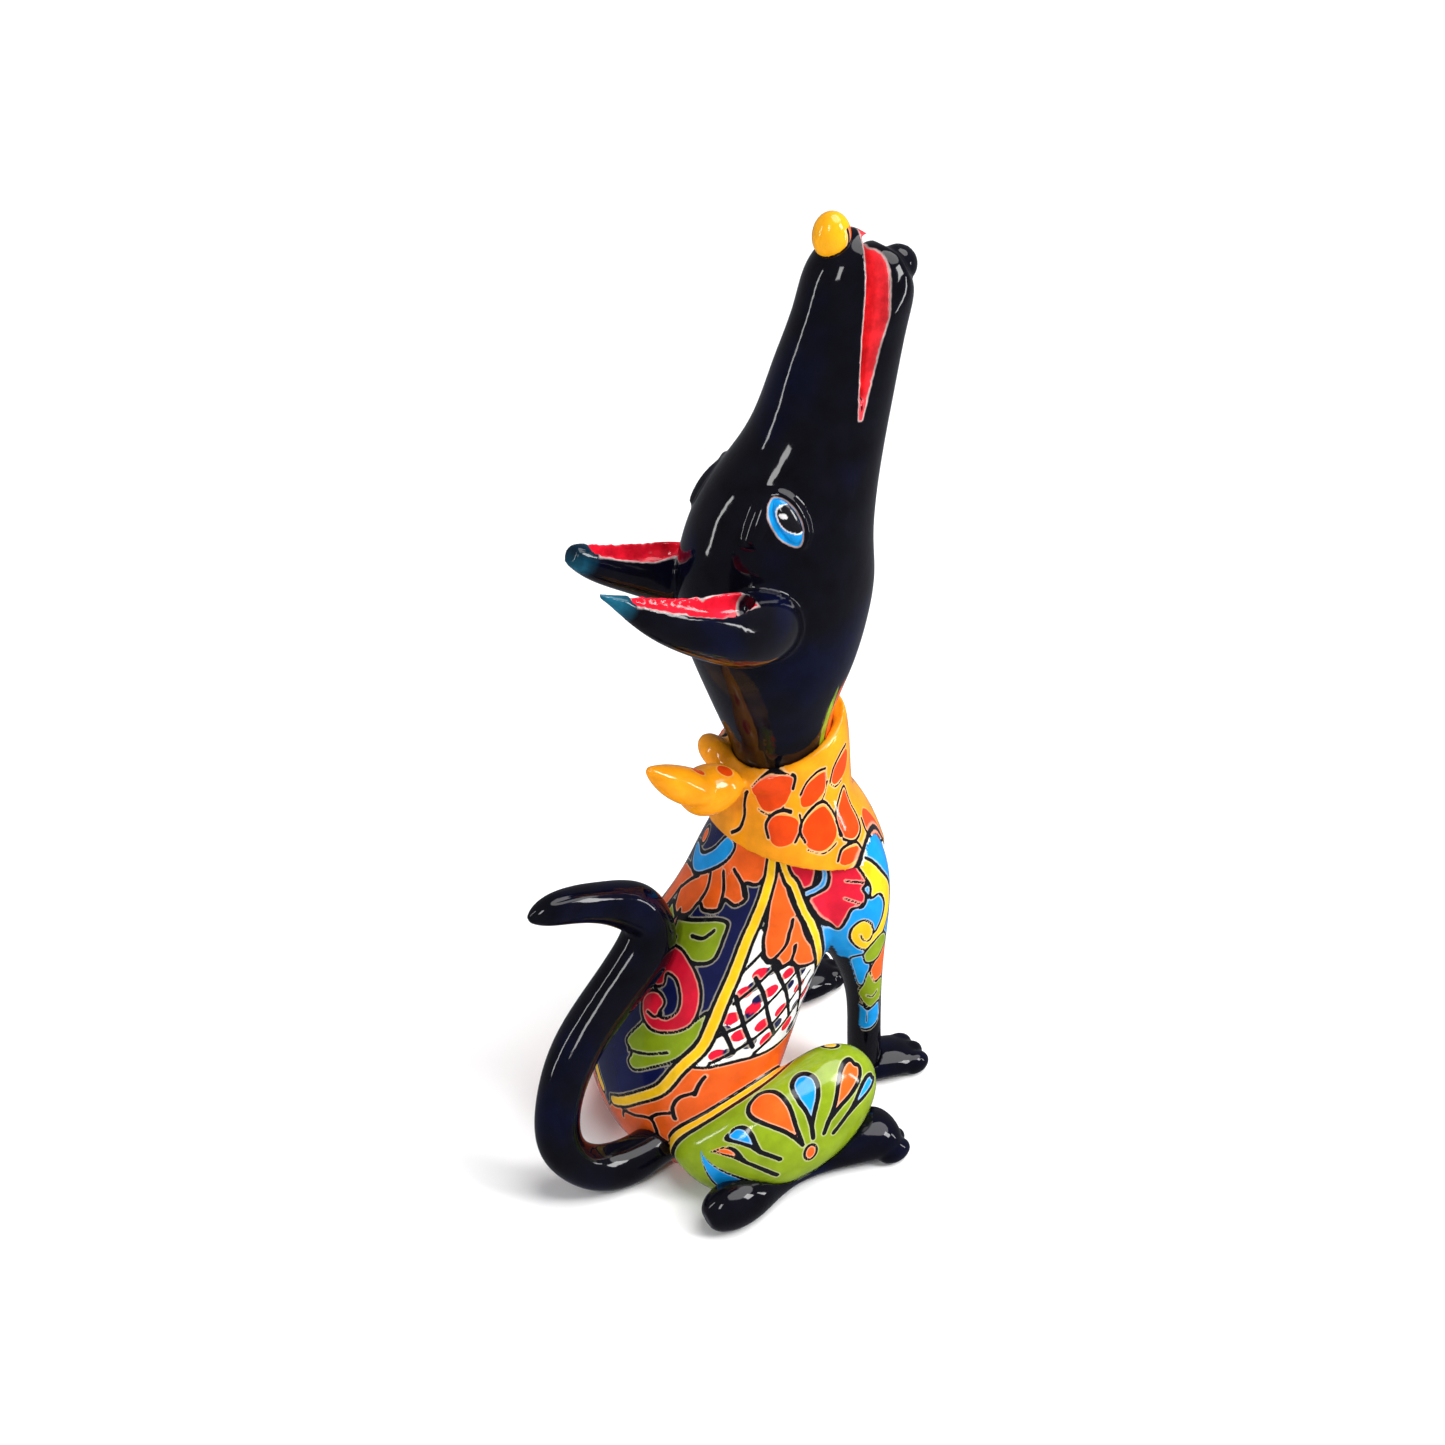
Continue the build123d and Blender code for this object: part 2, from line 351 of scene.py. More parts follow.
@dataclass(frozen=True)
class NodeBench:
    """Adds linked nodes to one material's node tree."""

    tree: bpy.types.NodeTree

    def node(self, kind: str, values: dict[str, float] | None = None) -> bpy.types.Node:
        """Adds a node.

        Args:
            kind: The node's type.
            values: Numbers for its input sockets, by name.

        Returns:
            The node.
        """
        made = self.tree.nodes.new(kind)
        for name, value in (values or {}).items():
            made.inputs[name].default_value = value
        return made

    def link(self, source: Socket, target: Socket) -> None:
        """Links an output to an input."""
        self.tree.links.new(source, target)

    def attribute(self, name: str, output: str) -> Socket:
        """Reads a point attribute.

        Args:
            name: The attribute's name.
            output: Color or Fac.

        Returns:
            The output socket.
        """
        made = self.node("ShaderNodeAttribute")
        made.attribute_name = name
        return made.outputs[output]

    def noise(self, place: Socket, scale: float, detail: float, roughness: float = 0.5) -> Socket:
        """Adds a noise.

        Args:
            place: Where the noise is read.
            scale: Features per metre.
            detail: How many finer layers it has.
            roughness: How strong the finer layers are.

        Returns:
            The noise, about 0.5 on average.
        """
        made = self.node("ShaderNodeTexNoise", {"Scale": scale, "Detail": detail, "Roughness": roughness})
        self.link(place, made.inputs["Vector"])
        return made.outputs["Fac"]

    def math(self, operation: str, first: Socket, second: float, third: Socket | None = None) -> Socket:
        """Adds a Math node.

        Args:
            operation: What it does.
            first: Its first value.
            second: Its second value, a plain number.
            third: Its third value, if it has one.

        Returns:
            The result.
        """
        made = self.node("ShaderNodeMath")
        made.operation = operation
        self.link(first, made.inputs[0])
        made.inputs[1].default_value = second
        if third is not None:
            self.link(third, made.inputs[2])
        return made.outputs[0]

    def wobble(self, noise: Socket, amount: float, value: Socket) -> Socket:
        """Shifts a value up and down by a noise, over a range as wide as the amount."""
        return self.math("SUBTRACT", self.math("MULTIPLY_ADD", noise, amount, value), amount / 2)

    def spread(self, value: Socket, start: float, end: float, low: float, high: float) -> Socket:
        """Adds a straight map from one range to another.

        Args:
            value: What is mapped.
            start: The value that gives low.
            end: The value that gives high.
            low: The result at start.
            high: The result at end.

        Returns:
            The mapped value.
        """
        ends = {"From Min": start, "From Max": end, "To Min": low, "To Max": high}
        made = self.node("ShaderNodeMapRange", ends)
        self.link(value, made.inputs["Value"])
        return made.outputs["Result"]

    def step(self, value: Socket, start: float, end: float) -> Socket:
        """Adds a smooth step.

        Args:
            value: What is stepped.
            start: Where the step is 0.
            end: Where the step is 1, which may be below start.

        Returns:
            The step.
        """
        rising = start < end
        result = self.spread(value, min(start, end), max(start, end), float(not rising), float(rising))
        result.node.interpolation_type = "SMOOTHSTEP"
        return result

    def mix(self, share: Socket, first: Socket, second: Socket | Colour) -> Socket:
        """Adds a colour mix.

        Args:
            share: How much of the second colour shows.
            first: The first colour.
            second: The second colour, a socket or plain numbers.

        Returns:
            The mixed colour.
        """
        made = self.node("ShaderNodeMix")
        made.data_type = "RGBA"
        factor, colour_a, colour_b, result = made.inputs[0], made.inputs[6], made.inputs[7], made.outputs[2]
        self.link(share, factor)
        self.link(first, colour_a)
        if isinstance(second, tuple):
            colour_b.default_value = (*second, 1.0)
        else:
            self.link(second, colour_b)
        return result


@dataclass(frozen=True)
class Glaze:
    """Glossy glaze over painted colours: pooled tone, pale rims by the lines, orange-peel gloss.

    pooling is how far the tone wanders, halo how pale the glaze is beside a brush line, peel the
    height of the orange peel, shine the specular level, edge_rim how pale the edge of an unlined
    shape is, and depth a second tone that clouds the painted colour.
    """

    name: str
    roughness: float = 0.08
    pooling: float = 0.22
    halo: float = 0.32
    peel: float = 0.35
    shine: float = 0.42
    rim_colour: Colour = (0.95, 0.86, 0.60)
    edge_rim: float = 0.0
    depth: Colour | None = None

    def build(self) -> bpy.types.Material:
        """Makes the node material.

        Returns:
            The material, which reads the point attributes tint, ink, over and crisp.
        """
        mat = bpy.data.materials.new(self.name)
        mat.use_nodes = True
        mat.node_tree.nodes.clear()
        bench = NodeBench(mat.node_tree)
        out = bench.node("ShaderNodeOutputMaterial")
        skin = bench.node("ShaderNodeBsdfPrincipled", {"IOR": 1.5, "Specular IOR Level": self.shine})
        bench.link(skin.outputs["BSDF"], out.inputs["Surface"])
        place = bench.node("ShaderNodeTexCoord").outputs["Object"]
        wander = bench.noise(place, 300.0, 2.0)
        pool = bench.noise(place, 62.0, 5.0, 0.6)
        line = bench.wobble(wander, 0.7, bench.attribute("ink", "Fac"))
        drawn = bench.step(line, 0.18, -0.18)

        ground = self.ground(bench, place, wander)
        toned = bench.node("ShaderNodeVectorMath")
        toned.operation = "SCALE"
        bench.link(ground, toned.inputs[0])
        shade = bench.spread(pool, 0.3, 0.7, 1.0 - self.pooling, 1.0 + self.pooling * 0.7)
        bench.link(shade, toned.inputs["Scale"])
        pale_share = bench.math("MULTIPLY", bench.step(line, 1.15, 0.25), self.halo)
        pale = bench.mix(pale_share, toned.outputs["Vector"], self.rim_colour)
        lined = bench.mix(drawn, pale, Pigment.INK.value)
        bench.link(lined, skin.inputs["Base Color"])

        gloss = bench.spread(pool, 0.35, 0.75, self.roughness, self.roughness * 1.9)
        bench.link(gloss, skin.inputs["Roughness"])
        swell = bench.noise(place, 34.0, 3.0)
        bump = bench.node("ShaderNodeBump", {"Strength": self.peel, "Distance": 0.0016})
        bench.link(bench.math("MULTIPLY_ADD", drawn, -0.10, swell), bump.inputs["Height"])
        bench.link(bump.outputs["Normal"], skin.inputs["Normal"])
        return mat

    def ground(self, bench: NodeBench, place: Socket, wander: Socket) -> Socket:
        """Adds the painted colours under the brush lines.

        Args:
            bench: The material's bench.
            place: Where noises are read.
            wander: The noise that makes edges uneven.

        Returns:
            The colour.
        """
        ground = bench.attribute("tint", "Color")
        if self.depth is not None:
            cloud = bench.step(bench.noise(place, 17.0, 2.0), 0.46, 0.70)
            ground = bench.mix(cloud, ground, self.depth)
        ragged = bench.wobble(wander, 0.8, bench.attribute("crisp", "Fac"))
        fringe = bench.math("MULTIPLY", bench.step(ragged, 1.3, 0.4), self.edge_rim)
        ground = bench.mix(fringe, ground, self.rim_colour)
        return bench.mix(bench.step(ragged, 0.15, -0.15), ground, bench.attribute("over", "Color"))


DARK_GLAZE = Glaze(
    "black_glaze_dark",
    roughness=0.05,
    pooling=0.55,
    halo=0.0,
    shine=0.27,
    rim_colour=(0.55, 0.42, 0.40),
    edge_rim=0.8,
    depth=Pigment.COBALT.value,
)
PAINTED_GLAZE = Glaze("painted_glaze_body")
SCARF_GLAZE = Glaze("amber_glaze_scarf", roughness=0.07, edge_rim=0.12)


# ---------------------------------------------------------------- clay


def scene_object(name: str, bm: bmesh.types.BMesh) -> bpy.types.Object:
    """Turns built faces into an object of the scene.

    Args:
        name: The object's name.
        bm: The faces, which are freed.

    Returns:
        The object.
    """
    mesh = bpy.data.meshes.new(name)
    bm.to_mesh(mesh)
    bm.free()
    obj = bpy.data.objects.new(name, mesh)
    bpy.context.scene.collection.objects.link(obj)
    return obj


def axis_centre(z: np.ndarray, heights: list[float], values: list[float]) -> np.ndarray:
    """Where a limb's axis is at each height, between listed stations."""
    return np.interp(z, heights, values)


@dataclass
class Clay:
    """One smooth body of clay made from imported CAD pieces.

    voxel is the skin's point spacing in millimetres and smooth the number of smoothing passes. Each
    plug closes a hole so that the skin has no inside: x, y, lowest and highest z, and radius.
    """

    name: str = "clay"
    nodes: tuple[str, ...] = ()
    material_slot: str = "black_glaze"
    glaze: Glaze = DARK_GLAZE
    voxel: float = 1.2
    smooth: int = 6
    plugs: tuple[Plug, ...] = ()
    obj: bpy.types.Object | None = field(init=False, default=None)

    def dress(self) -> None:
        """Moulds, paints and glazes the piece."""
        self.mould()
        self.wear(self.paint(), self.glaze.build())

    def paint(self) -> Canvas:
        """Leaves the piece in bare dark glaze."""
        return Canvas(len(self.obj.data.vertices))

    def mould(self) -> None:
        """Joins copies of the CAD meshes, remeshes them as one skin and smooths the joints."""
        bm = bmesh.new()
        for node in self.nodes:
            bm.from_mesh(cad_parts[node].data)
        for x, y, low, high, radius in self.plugs:
            size = {"radius1": radius * MM, "radius2": radius * MM, "depth": (high - low) * MM}
            made = bmesh.ops.create_cone(bm, cap_ends=True, segments=48, **size)
            middle = Vector((x, y, (low + high) / 2)) + Vector(SHIFT)
            bmesh.ops.translate(bm, verts=made["verts"], vec=middle * MM)
        self.obj = scene_object(self.name, bm)
        remesh = self.obj.modifiers.new("skin", "REMESH")
        remesh.mode = "VOXEL"
        remesh.voxel_size = self.voxel * MM
        remesh.use_smooth_shade = True
        soft = self.obj.modifiers.new("soft", "SMOOTH")
        soft.factor = 0.5
        soft.iterations = self.smooth
        self.apply()

    def apply(self) -> None:
        """Turns the modifiers' result into the object's own mesh."""
        graph = bpy.context.evaluated_depsgraph_get()
        done = bpy.data.meshes.new_from_object(self.obj.evaluated_get(graph))
        self.obj.modifiers.clear()
        self.obj.data = done
        done.shade_smooth()

    def points(self) -> np.ndarray:
        """Reads the mesh points.

        Returns:
            Millimetres from the modelling origin, one row for each point.
        """
        co = np.empty(len(self.obj.data.vertices) * 3, np.float32)
        self.obj.data.vertices.foreach_get("co", co)
        return co.reshape(-1, 3).astype(float) / MM - SHIFT

    def wear(self, canvas: Canvas, material: bpy.types.Material) -> None:
        """Stores the painting on the mesh and hands the piece to the frame.

        Args:
            canvas: The painting.
            material: The glaze.
        """
        mesh = self.obj.data
        mesh.materials.clear()
        mesh.materials.append(material)
        for name, values in (("ink", canvas.ink), ("crisp", canvas.crisp)):
            layer = mesh.attributes.new(name, "FLOAT", "POINT")
            layer.data.foreach_set("value", values.astype(np.float32))
        for name, values in (("tint", canvas.tint), ("over", canvas.over)):
            layer = mesh.attributes.new(name, "FLOAT_COLOR", "POINT")
            rgba = np.column_stack([values, np.ones(canvas.count)])
            layer.data.foreach_set("color", rgba.astype(np.float32).ravel())
        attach(self.obj, "root")
        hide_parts(*self.nodes)
        LOG.info("%s: %d points", self.name, canvas.count)


def node_distance(points: np.ndarray, nodes: list[str], reach: float) -> np.ndarray:
    """Distance from points to the nearest surface of CAD nodes.

    Args:
        points: Points in millimetres.
        nodes: The CAD nodes' names.
        reach: Farther than this counts as this.

    Returns:
        One distance per point, in millimetres.
    """
    verts: list[Vector] = []
    faces: list[tuple[int, ...]] = []
    for node in nodes:
        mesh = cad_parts[node].data
        base = len(verts)
        verts += [v.co.copy() for v in mesh.vertices]
        faces += [tuple(i + base for i in p.vertices) for p in mesh.polygons]
    tree = BVHTree.FromPolygons(verts, faces)
    out = np.full(len(points), reach)
    for i, p in enumerate((points + SHIFT) * MM):
        hit = tree.find_nearest(Vector(p), reach * MM)
        if hit[0] is not None:
            out[i] = hit[3] / MM
    return out


def torso_uv(p: np.ndarray) -> np.ndarray:
    """Degrees round the torso, 0 behind, 90 on the right and 180 at the chest, and height.

    Args:
        p: The mesh points in millimetres.

    Returns:
        Degrees and height, one row for each point.
    """
    cx = axis_centre(
        p[:, 2], [14, 42, 72, 102, 132, 162, 192, 222], [-38, -32, -18, 0, 20, 37, 45, 46]
    )
    return np.column_stack([np.degrees(np.arctan2(-p[:, 1], -(p[:, 0] - cx))), p[:, 2]])


def leg_uv(p: np.ndarray) -> np.ndarray:
    """Degrees round a front leg, 0 behind, 90 outside and 180 in front, and height.

    Args:
        p: The mesh points in millimetres.

    Returns:
        Degrees and height, one row for each point.
    """
    cx = axis_centre(p[:, 2], [40, 78, 116, 150, 178, 200], [84, 82, 77, 70, 60, 50])
    cy = axis_centre(p[:, 2], [40, 78, 116, 150, 178, 200], [44, 43, 40, 36, 32, 24])
    return np.column_stack([np.degrees(np.arctan2(np.abs(p[:, 1]) - cy, -(p[:, 0] - cx))), p[:, 2]])


def thigh_uv(p: np.ndarray) -> np.ndarray:
    """Length along a thigh and the way round it, both in millimetres.

    Args:
        p: The mesh points in millimetres.

    Returns:
        Length and way round, one row for each point.
    """
    middle_x, middle_y, middle_z, radius = -12.46, 86.0, 42.0, 33.0
    around = middle_z + radius * np.arctan2(p[:, 2] - middle_z, np.abs(p[:, 1]) - middle_y)
    return np.column_stack([p[:, 0] - middle_x, around])


def scarf_uv(p: np.ndarray) -> np.ndarray:
    """Degrees round the neckerchief, as on the torso, and height."""
    cx = axis_centre(p[:, 2], [135, 165, 190, 210, 226, 258], [57, 54, 49, 45, 43, 45])
    return np.column_stack([np.degrees(np.arctan2(-p[:, 1], -(p[:, 0] - cx))), p[:, 2]])


@dataclass
class PaintedBody(Clay):
    """Torso, haunches and front legs in one skin, with the painted pattern.

    leg_scale is how many millimetres a degree round a front leg counts for. The bands and the rim are
    full widths, and reach is how far the border between two pieces is looked for.
    """

    name: str = "painted_body"
    nodes: tuple[str, ...] = (
        "body_right_half",
        "body_left_half",
        "thigh_right",
        "thigh_left",
        "front_leg_right",
        "front_leg_left",
    )
    material_slot: str = "painted_glaze"
    glaze: Glaze = PAINTED_GLAZE
    voxel: float = 1.5
    smooth: int = 8
    plugs: tuple[Plug, ...] = ((-34, 0, 3, 8, 13), (46, 0, 214, 223, 31))
    leg_scale: float = 0.45
    back_band: float = 8.2
    shoulder_band: float = 6.4
    haunch_rim: float = 8.5
    net_line: float = 2.3
    navy_dot: float = 4.1
    red_dot: float = 4.7
    dot_squash: float = 0.75
    reach: float = 30.0

    def paint(self) -> Canvas:
        """Paints all regions.

        Returns:
            The painted canvas.
        """
        p = self.points()
        canvas = Canvas(len(p))
        thighs = node_distance(p, ["thigh_right", "thigh_left"], self.reach)
        legs = node_distance(p, ["front_leg_right", "front_leg_left"], self.reach)
        trunk = node_distance(p, ["body_right_half", "body_left_half"], self.reach)
        to_thigh = thighs - np.minimum(trunk, legs)
        to_leg = legs - np.minimum(trunk, thighs)
        on_thigh = to_thigh < 0
        on_leg = (to_leg < 0) & ~on_thigh
        on_trunk = ~on_thigh & ~on_leg
        canvas.tint[:] = Pigment.NAVY.value
        self.paint_trunk(canvas, p, on_trunk)
        self.paint_leg(canvas, p, on_leg, on_trunk)
        uv = torso_uv(p)
        side = Brush(canvas, np.column_stack([np.abs(uv[:, 0]), uv[:, 1]]), on_trunk, 1.1)
        band = [(51, 212), (60, 193), (67, 186), (79, 167), (95, 149), (107, 135), (120, 121)]
        side.ribbon(band, self.shoulder_band, Pigment.YELLOW, 1.2)
        self.paint_thigh(canvas, p, on_thigh, to_thigh)
        return canvas

    def paint_trunk(self, canvas: Canvas, p: np.ndarray, only: np.ndarray) -> None:
        """Paints the torso: both sides, then the back.

        Args:
            canvas: The canvas to paint on.
            p: The mesh points in millimetres.
            only: The points that belong to this region.
        """
        uv = torso_uv(p)
        both = np.column_stack([np.abs(uv[:, 0]), uv[:, 1]])
        side = Brush(canvas, both, only, 0.95)
        self.paint_rump(side)
        self.paint_lattice(side)
        self.paint_wedge(side)
        self.paint_chest(side)
        self.paint_back(Brush(canvas, uv, only, 0.95))
        band = [(48, 212), (48, 180), (46, 160), (48, 140), (50, 120), (52, 104), (52, 92), (47, 79)]
        band += [(42, 62), (32, 50), (20, 38), (8, 30)]
        side.ribbon(band, self.back_band, Pigment.YELLOW, 1.1)

    def paint_rump(self, brush: Brush) -> None:
        """Paints the orange rump below the lattice, with its curls.

        Args:
            brush: The brush that paints this region.
        """
        brush.shape(
            [
                (6, 28), (24, 41), (40, 58), (50, 82), (60, 82), (76, 85), (104, 84), (130, 88), (184, 92),
                (184, -8), (6, -8),
            ],
            Pigment.ORANGE,
            1.0,
        )
        for curl in (
            [(20, 24), (21, 30), (30, 33), (42, 38), (47, 32), (49, 27), (55, 24)],
            [(42, 38), (46, 44), (52, 48)],
            [(59, 65), (53, 60), (52, 53), (54, 48), (56, 45)],
            [(61, 76), (60, 70), (60, 64)],
        ):
            brush.stroke(curl, 2.4)

    def paint_lattice(self, brush: Brush) -> None:
        """Paints the white panel with its grey net and its red and navy dots.

        Args:
            brush: The brush that paints this region.
        """
        panel = [
            (51, 84), (51, 110), (48, 140), (49, 160), (56, 158), (62, 146), (70, 141), (80, 137),
            (92, 132),
        ]
        panel += [(118, 128), (140, 118), (140, 86), (104, 84), (74, 85), (58, 81)]
        brush.shape(panel, Pigment.WHITE, 0.9)
        for line in (
            [(56, 122), (67, 108), (80, 91)],
            [(62, 132), (73, 121), (82, 108), (93, 93)],
            [(70, 138), (80, 128), (92, 115), (103, 98)],
            [(88, 133), (98, 122), (108, 108), (114, 95)],
            [(108, 130), (118, 118), (128, 102)],
            [(54, 107), (60, 102), (70, 90)],
            [(52, 96), (61, 102), (70, 107), (80, 116), (90, 126), (96, 134)],
            [(60, 84), (70, 91), (80, 97), (91, 103), (100, 112), (108, 122)],
            [(57, 118), (64, 126), (72, 136)],
            [(82, 87), (94, 94), (104, 100), (113, 108), (124, 118)],
            [(108, 88), (118, 94), (132, 104)],
            [(52, 134), (57, 142), (60, 148)],
        ):
            brush.stroke(line, self.net_line)
        navy = [
            (71, 135), (97, 126), (90, 121), (64, 127), (71, 119), (70, 110), (92, 99), (59, 103), (77, 94),
        ]
        navy += [(67, 90), (107, 103), (118, 112), (122, 98), (110, 88)]
        red = [
            (64, 134), (85, 130), (77, 122), (102, 116), (60, 124), (70, 114), (92, 107), (81, 103),
            (103, 94),
        ]
        red += [(88, 93), (69, 100), (60, 110), (62, 89), (114, 106), (120, 120), (130, 106), (128, 92)]
        for spot in navy:
            brush.spot(spot, self.navy_dot, Pigment.NAVY, 0.0, self.dot_squash)
        for spot in red:
            brush.spot(spot, self.red_dot, Pigment.RED, 0.0, self.dot_squash)

    def paint_wedge(self, brush: Brush) -> None:
        """Paints the orange flame between the two yellow bands.

        Args:
            brush: The brush that paints this region.
        """
        wedge = [
            (52, 200), (60, 189), (68, 176), (87, 151), (118, 127), (104, 128), (90, 132), (83, 137),
            (77, 136),
        ]
        wedge += [(72, 140), (66, 140), (60, 147), (55, 158), (52, 178)]
        brush.shape(wedge, Pigment.ORANGE, 1.1)
        brush.stroke([(70, 166), (71, 158), (73, 150), (70, 143), (66, 141), (61, 144)], 2.6)
        brush.stroke([(80, 148), (82, 143), (82, 137), (77, 135), (72, 138)], 2.6)

    def paint_chest(self, brush: Brush) -> None:
        """Paints the chest between the front legs.

        Args:
            brush: The brush that paints this region.
        """
        brush.drop((150, 118), (172, 150), 22, Pigment.ORANGE)
        brush.drop((146, 132), (150, 168), 18, Pigment.SKY)
        brush.shape([(150, 96), (166, 104), (184, 108), (184, 92), (168, 88)], Pigment.GREEN)

    def paint_back(self, brush: Brush) -> None:
        """Paints the flower, the leaves and the scroll down the back.

        Args:
            brush: The brush that paints this region.
        """
        petals = [
            (12, 206), (44, 206), (44, 192), (40, 186), (32, 185), (36, 177), (30, 171), (22, 172),
            (20, 165),
        ]
        petals += [
            (10, 161), (4, 163), (0, 153), (-12, 148), (-19, 154), (-22, 158), (-26, 142), (-38, 138),
        ]
        petals += [(-44, 148), (-38, 165), (-20, 172), (-8, 178), (0, 186)]
        brush.shape(petals, Pigment.ORANGE, 1.2)
        for crease in (
            [(-8, 174), (-15, 167), (-21, 158)],
            [(2, 180), (5, 172), (4, 164)],
            [(12, 186), (18, 177), (20, 167)],
            [(20, 190), (29, 185), (34, 178)],
        ):
            brush.stroke(crease, 2.6)
        crescent = [
            (-38, 180), (-28, 173), (-14, 172), (2, 183), (12, 194), (14, 203), (6, 206), (1, 204),
            (-7, 192),
        ]
        crescent += [(-18, 184), (-30, 184)]
        brush.shape(crescent, Pigment.SKY, 1.2)
        brush.spot((-27, 191), 5.5, Pigment.ORANGE, 1.1)
        leaf = [
            (-30, 128), (-34, 138), (-22, 142), (-20, 150), (-8, 148), (4, 152), (22, 160), (30, 160),
            (32, 152),
        ]
        leaf += [(33, 140), (26, 135), (14, 133), (0, 130), (-14, 126)]
        brush.shape(leaf, Pigment.GREEN, 1.2)
        brush.stroke([(-20, 148), (-18, 141), (-6, 140), (2, 140)], 2.4)
        brush.stroke([(24, 154), (20, 148), (12, 146)], 2.4)
        brush.shape([(-36, 116), (-34, 124), (-28, 126), (-27, 118), (-31, 113)], Pigment.ORANGE, 1.0)
        second = [(6, 76), (9, 86), (14, 94), (28, 96), (40, 104), (45, 112), (47, 106), (48, 96), (43, 83)]
        second += [(33, 73), (21, 64), (14, 66), (14, 72)]
        brush.shape(second, Pigment.GREEN, 0.9)
        brush.stroke([(11, 72), (24, 77), (36, 84)], 1.9)
        scroll = [
            (-8, 152), (0, 138), (12, 137), (24, 132), (34, 124), (40, 113), (40, 102), (30, 94), (19, 91),
        ]
        scroll += [
            (9, 94), (3, 101), (5, 108), (12, 111), (19, 108), (19, 101), (25, 101), (29, 107), (26, 115),
        ]
        scroll += [(18, 122), (10, 122), (12, 116), (6, 112), (0, 116), (-6, 130)]
        brush.shape(scroll, Pigment.RED, 0.9)
        brush.stroke([(11, 98), (17, 98), (21, 102)], 1.8)

    def paint_leg(self, canvas: Canvas, p: np.ndarray, on_leg: np.ndarray, on_trunk: np.ndarray) -> None:
        """Paints the front legs and the shoulder round them: flower, scroll and leaves on blue.

        Args:
            canvas: The canvas to paint on.
            p: The mesh points in millimetres.
            on_leg: The points that belong to the front legs.
            on_trunk: The points that belong to the torso.
        """
        k = self.leg_scale
        trunk = torso_uv(p)
        trunk[:, 0] = np.abs(trunk[:, 0])
        panel = [
            (56, 230), (54, 210), (60, 194), (67, 188), (79, 168), (95, 150), (107, 136), (118, 125),
            (128, 116),
        ]
        panel += [(142, 116), (142, 230)]
        shoulder = on_trunk & inside_outline(trunk, np.array(panel, float))
        only = on_leg | shoulder
        uv = leg_uv(p)
        canvas.tint[on_leg] = Pigment.NIGHT.value
        canvas.clear(only)
        ground = only & ((uv[:, 1] > 117) | shoulder)
        canvas.tint[ground] = Pigment.SKY.value
        brush = Brush(canvas, uv * np.array([k, 1.0]), only & (uv[:, 0] > -20), 0.95)

        def at(*points: Point) -> list[Point]:
            """Turns degrees round the leg into the brush's units."""
            return [(u * k, v) for u, v in points]

        brush.shape(
            at((26, 212), (60, 212), (60, 198), (51, 190), (38, 182), (31, 182), (26, 192)), Pigment.RED,
        )
        flower = at(
            (74, 214), (105, 210), (120, 196), (125, 188), (122, 181), (113, 177), (102, 175), (103, 169),
        )
        flower += at(
            (92, 162), (78, 163), (70, 161), (60, 155), (43, 147), (36, 158), (33, 170), (33, 179),
            (50, 183),
        )
        flower += at((66, 190), (72, 198))
        brush.shape(flower, Pigment.RED, 1.1)
        brush.stroke(at((113, 177), (100, 181), (86, 184)), 1.8)
        brush.stroke(at((94, 163), (82, 168), (72, 172)), 1.8)
        brush.ribbon(at((71, 208), (68, 196), (60, 188), (48, 183), (33, 181)), 4.6, Pigment.SKY, 1.0)
        scroll = at(
            (112, 198), (128, 192), (140, 178), (150, 162), (142, 145), (120, 131), (88, 124), (66, 127),
        )
        scroll += at(
            (56, 137), (64, 147), (82, 151), (96, 146), (100, 138), (106, 138), (121, 146), (129, 156),
        )
        scroll += at((124, 165), (108, 166), (114, 174), (112, 186))
        brush.shape(scroll, Pigment.YELLOW, 1.0)
        brush.stroke(at((99, 138), (90, 132), (78, 133), (74, 139)), 1.7)
        brush.shape(at((46, 118), (44, 104), (49, 92), (70, 91), (80, 100), (82, 118)), Pigment.SKY)
        brush.shape(
            at((74, 112), (74, 121), (104, 130), (125, 131), (138, 122), (120, 114), (97, 111)),
            Pigment.GREEN,
        )
        brush.shape(
            at((84, 92), (82, 102), (95, 110), (110, 113), (136, 120), (142, 108), (126, 94), (104, 88)),
            Pigment.ORANGE,
        )
        leaf = at(
            (80, 103), (63, 92), (44, 83), (57, 74), (80, 69), (106, 71), (128, 82), (122, 92), (94, 92),
        )
        brush.shape(leaf, Pigment.GREEN)
        brush.stroke(at((66, 81), (85, 79), (102, 83)), 1.6)
        ice = at(
            (32, 72), (28, 62), (38, 53), (55, 50), (85, 52), (107, 58), (108, 72), (90, 71), (69, 68),
            (50, 72),
        )
        brush.shape(ice, Pigment.SKY)
        brush.stroke(at((69, 68), (64, 57)), 1.5)
        inner = on_leg & ((uv[:, 0] < 24) | ((uv[:, 0] < 42) & (uv[:, 1] < 118))) & (uv[:, 1] < 190)
        canvas.tint[inner] = Pigment.NIGHT.value
        canvas.clear(inner)

